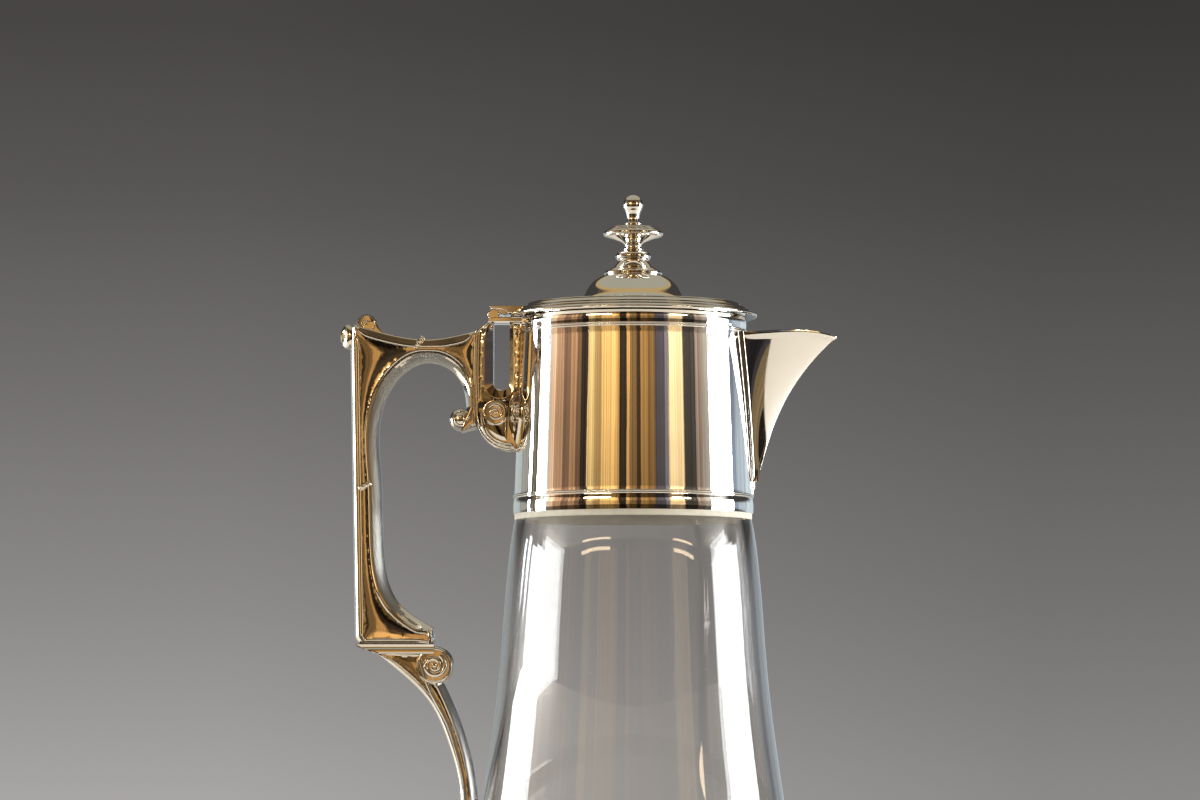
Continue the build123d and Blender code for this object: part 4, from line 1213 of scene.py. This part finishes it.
def finial_knop():
    """Ball on a short pear-shaped neck."""
    base, top = low("finial_knop"), high("finial_knop")
    ball = arc((0, top - 3.0), 3.0, -28, 90, 28)
    knop = joined([(0, base), (2.35, base)], arc((2.15, base + 0.35), 0.35, -40, 60, 6),
                  through([(2.05, base + 0.75), (1.85, base + 1.8), (1.9, base + 2.6), ball[0]],
                          arrive=(0.47, 0.88), step=0.25), ball)
    ring("finial_knop_fine", knop, "finial_knop", "lid")


# --------------------------------------------------------------- the jug
def kept_nodes():
    """CAD pieces that stay as they are and only take their metal."""
    metals = {"hinge_pin": silver, "finial_stud": brass, "finial_washer": brass, "finial_nut": brass}
    for name, material in metals.items():
        for slot in frame["nodes"][name].material_slots:
            slot.material = material


def build_jug():
    """All pieces, from the glass up."""
    glass_body()
    cement()
    collar()
    double_reed("upper_reed_wires", "upper_reed")
    double_reed("lower_reed_wires", "lower_reed")
    seat_ring()
    beak()
    spout_seam()
    handle()
    ties()
    stirrup()
    pad()
    hinge_leaves()
    tail()
    girdle()
    saddle()
    lid()
    bezel()
    boss()
    finial_foot()
    finial_saucer()
    finial_knop()
    kept_nodes()


# ------------------------------------------------------------ room and light
def linear(red, green, blue):
    """A display colour from 0 to 255 as light."""
    return tuple(((c / 255 + 0.055) / 1.055)**2.4 if c > 10 else c / 255 / 12.92
                 for c in (red, green, blue)) + (1,)


ROOM = [  # from this bearing on, in degrees to the right of the camera: colour of the room
    (-180, (190, 200, 200)), (-142, (165, 165, 158)), (-124, (140, 140, 132)),
    (-120, (225, 225, 220)), (-91, (240, 200, 165)), (-84, (185, 145, 112)), (-74, (130, 100, 78)),
    (-66, (170, 130, 95)), (-58, (120, 92, 68)), (-53, (55, 45, 38)), (-45, (215, 180, 120)),
    (-38, (160, 128, 80)), (-32, (225, 178, 108)), (-17, (190, 145, 85)), (-14, (50, 40, 30)),
    (-7, (196, 148, 88)), (-3.6, (120, 92, 56)), (3, (64, 48, 34)), (8, (150, 112, 64)),
    (15, (120, 90, 52)), (22, (78, 72, 74)), (31, (118, 112, 114)), (36, (250, 215, 160)),
    (51, (72, 66, 60)), (65, (150, 130, 115)), (74, (175, 165, 152)), (81, (225, 225, 220)),
    (113, (150, 165, 185)), (121, (190, 203, 215)), (140, (215, 228, 238))]
BACKDROP = [  # elevation in degrees above the camera's level: grey
    (-3, 150), (-0.46, 138), (0.57, 127), (1.72, 115), (4.0, 94), (6.3, 72), (8.4, 57), (20, 45),
    (60, 60)]


def room():
    """Studio wall for the camera, a dim furnished room for what the silver mirrors."""
    world = bpy.data.worlds.new("studio")
    bpy.context.scene.world = world
    world.use_nodes = True
    tree = world.node_tree
    direction = node(tree, "TexCoord").outputs["Generated"]
    east, north, up = node(tree, "SeparateXYZ", Vector=direction).outputs
    south = maths(tree, "MULTIPLY", north, -1.0)
    bearing = maths(tree, "MULTIPLY", maths(tree, "ARCTAN2", east, south), 180 / pi)
    elevation = maths(tree, "MULTIPLY", maths(tree, "ARCSINE", up), 180 / pi)

    def share(value, start, end, below=0.0, above=1.0):
        return node(tree, "MapRange", Value=value, From_Min=start, From_Max=end, To_Min=below,
                    To_Max=above).outputs["Result"]

    def scaled(colour, amount):
        return node(tree, "VectorMath", "SCALE", Vector=colour, Scale=amount).outputs["Vector"]

    def noise(bearing_scale, elevation_scale, detail):
        spot = node(tree, "CombineXYZ", X=maths(tree, "MULTIPLY", bearing, bearing_scale),
                    Y=maths(tree, "MULTIPLY", elevation, elevation_scale))
        return node(tree, "TexNoise", Scale=1.0, Detail=detail,
                    Vector=spot.outputs["Vector"]).outputs["Fac"]

    sway = maths(tree, "MULTIPLY", maths(tree, "SUBTRACT", noise(0.12, 0.25, 3), 0.5), 5.0)
    turn = maths(tree, "DIVIDE", maths(tree, "ADD", maths(tree, "ADD", bearing, sway), 180.0), 360.0)
    walls = ramp(tree, [((a + 180) / 360, linear(*colour)) for a, colour in ROOM]
                 + [(1.0, linear(*ROOM[-1][1]))], "CONSTANT", turn)
    streaks = share(noise(0.9, 0.035, 5), 0.3, 0.7, 0.55, 1.35)
    lines = share(noise(1.7, 0.02, 3), 0.37, 0.42, 0.45)
    furnished = scaled(walls, maths(tree, "MULTIPLY", streaks, lines))
    behind = maths(tree, "MULTIPLY", share(north, 0.1, 0.3), share(elevation, 5.4, 8.0))
    overhead = node(tree, "VectorMath", "DOT_PRODUCT", Vector=direction)
    overhead.inputs[1].default_value = (0, 0.22, 0.975)
    cap = overhead.outputs["Value"]
    mirrored_room = furnished
    for amount, colour in (
            (share(elevation, 7, 9), scaled(furnished, 1.9)),
            (share(elevation, 15, 17), scaled(furnished, 0.32)),
            (share(elevation, 30, 40), (0.10, 0.068, 0.038, 1)),
            (behind, (0.05, 0.047, 0.045, 1)),
            (share(elevation, -1.5, -3.0), scaled(furnished, 0.25)),
            (share(cap, 0.65, 0.675), (0.50, 0.34, 0.15, 1)),
            (share(cap, 0.685, 0.735), (0.38, 0.36, 0.29, 1))):
        mirrored_room = mixed(tree, amount, mirrored_room, colour)
    greys = ramp(tree, [((e + 10) / 90, linear(g + 1, g - 1, g - 2)) for e, g in BACKDROP], "LINEAR",
                 maths(tree, "DIVIDE", maths(tree, "ADD", elevation, 10.0), 90.0))
    wall = scaled(greys, share(east, 0.06, -0.10, 1.0, 1.5))
    rays = node(tree, "LightPath").outputs
    seen = mixed(tree, rays["Is Glossy Ray"], (0.55, 0.53, 0.50, 1), mirrored_room)
    straight_through = maths(tree, "MAXIMUM", rays["Is Camera Ray"], rays["Is Transmission Ray"])
    fed(tree, tree.nodes["Background"], Color=mixed(tree, straight_through, seen, wall))


def softbox(name, place, target, width, height, radiance, colour):
    """A rectangular lamp that looks at its target. Its energy follows from its radiance."""
    light = bpy.data.lights.new(name, "AREA")
    light.shape = "RECTANGLE"
    light.size, light.size_y = width, height
    light.energy = radiance * pi * width * height
    light.color = colour
    lamp = bpy.data.objects.new(name, light)
    lamp.location = place
    lamp.rotation_euler = (Vector(target) - Vector(place)).to_track_quat("-Z", "Y").to_euler()
    bpy.context.scene.collection.objects.link(lamp)
    return lamp


def around(bearing, distance, height):
    """A place at a bearing to the right of the camera's direction, in metres."""
    return distance * sin(radians(bearing)), -distance * cos(radians(bearing)), height


def lights():
    """A softbox and a pair of warm tube lamps each side, and a broad fill from above."""
    window_height = 0.18
    for name, bearing, width in (("left_window", -105.5, 0.50), ("right_window", 97, 0.56)):
        softbox(name, around(bearing, 1.0, window_height), (0, 0, window_height), width, 0.37, 14.0,
                (0.96, 0.98, 1.0))
    for name, start, end in (("left_tube", (-1.97, -1.79), (-0.83, -2.19)),
                             ("right_tube", (1.55, -1.90), (2.45, -1.50))):
        x, y = (start[0] + end[0]) / 2, (start[1] + end[1]) / 2
        along, away = end[0] - start[0], end[1] - start[1]
        for z in (0.82, 0.94):
            tube = softbox(name, (x, y, z), (x - away, y + along, z), sqrt(along**2 + away**2), 0.034,
                           15.0, (1, 0.78, 0.5))
            tube.visible_transmission = False
    fill = softbox("overhead", (0, -0.1, 1.3), (0, 0, 0), 1.2, 1.2, 1.1, (1, 0.96, 0.9))
    fill.visible_glossy = False


def table_top():
    """Pale table that ends a little in front of the jug."""
    bpy.ops.mesh.primitive_circle_add(vertices=128, radius=1.3, fill_type="NGON",
                                      location=(0, 0.77, 0))
    floor = bpy.context.object
    floor.name = "table_top"
    material, tree, shader = new_material("pale_table", Roughness=0.6)
    tone = ramp(tree, [(0.3, (0.80, 0.74, 0.65, 1)), (0.7, (0.83, 0.78, 0.69, 1))], "LINEAR",
                pattern(tree, 3, 2))
    fed(tree, shader, Base_Color=tone)
    floor.data.materials.append(material)


def camera():
    """Long lens level with the jug's middle, looking slightly up."""
    turn, distance, aside, height, rise = radians(1.5), 1.5, -0.010, 0.113, atan(0.07)
    lens = bpy.data.cameras.new("camera")
    lens.lens, lens.sensor_width, lens.clip_start, lens.clip_end = 150, 36, 0.05, 50
    eye = bpy.data.objects.new("camera", lens)
    forward, right = Vector((-sin(turn), cos(turn), 0)), Vector((cos(turn), sin(turn), 0))
    eye.location = -distance * forward + aside * right + Vector((0, 0, height))
    eye.rotation_euler = (pi / 2 + rise, 0, turn)
    bpy.context.scene.collection.objects.link(eye)
    bpy.context.scene.camera = eye


build_jug()
room()
lights()
table_top()
camera()
bpy.context.scene.view_settings.view_transform = "Standard"
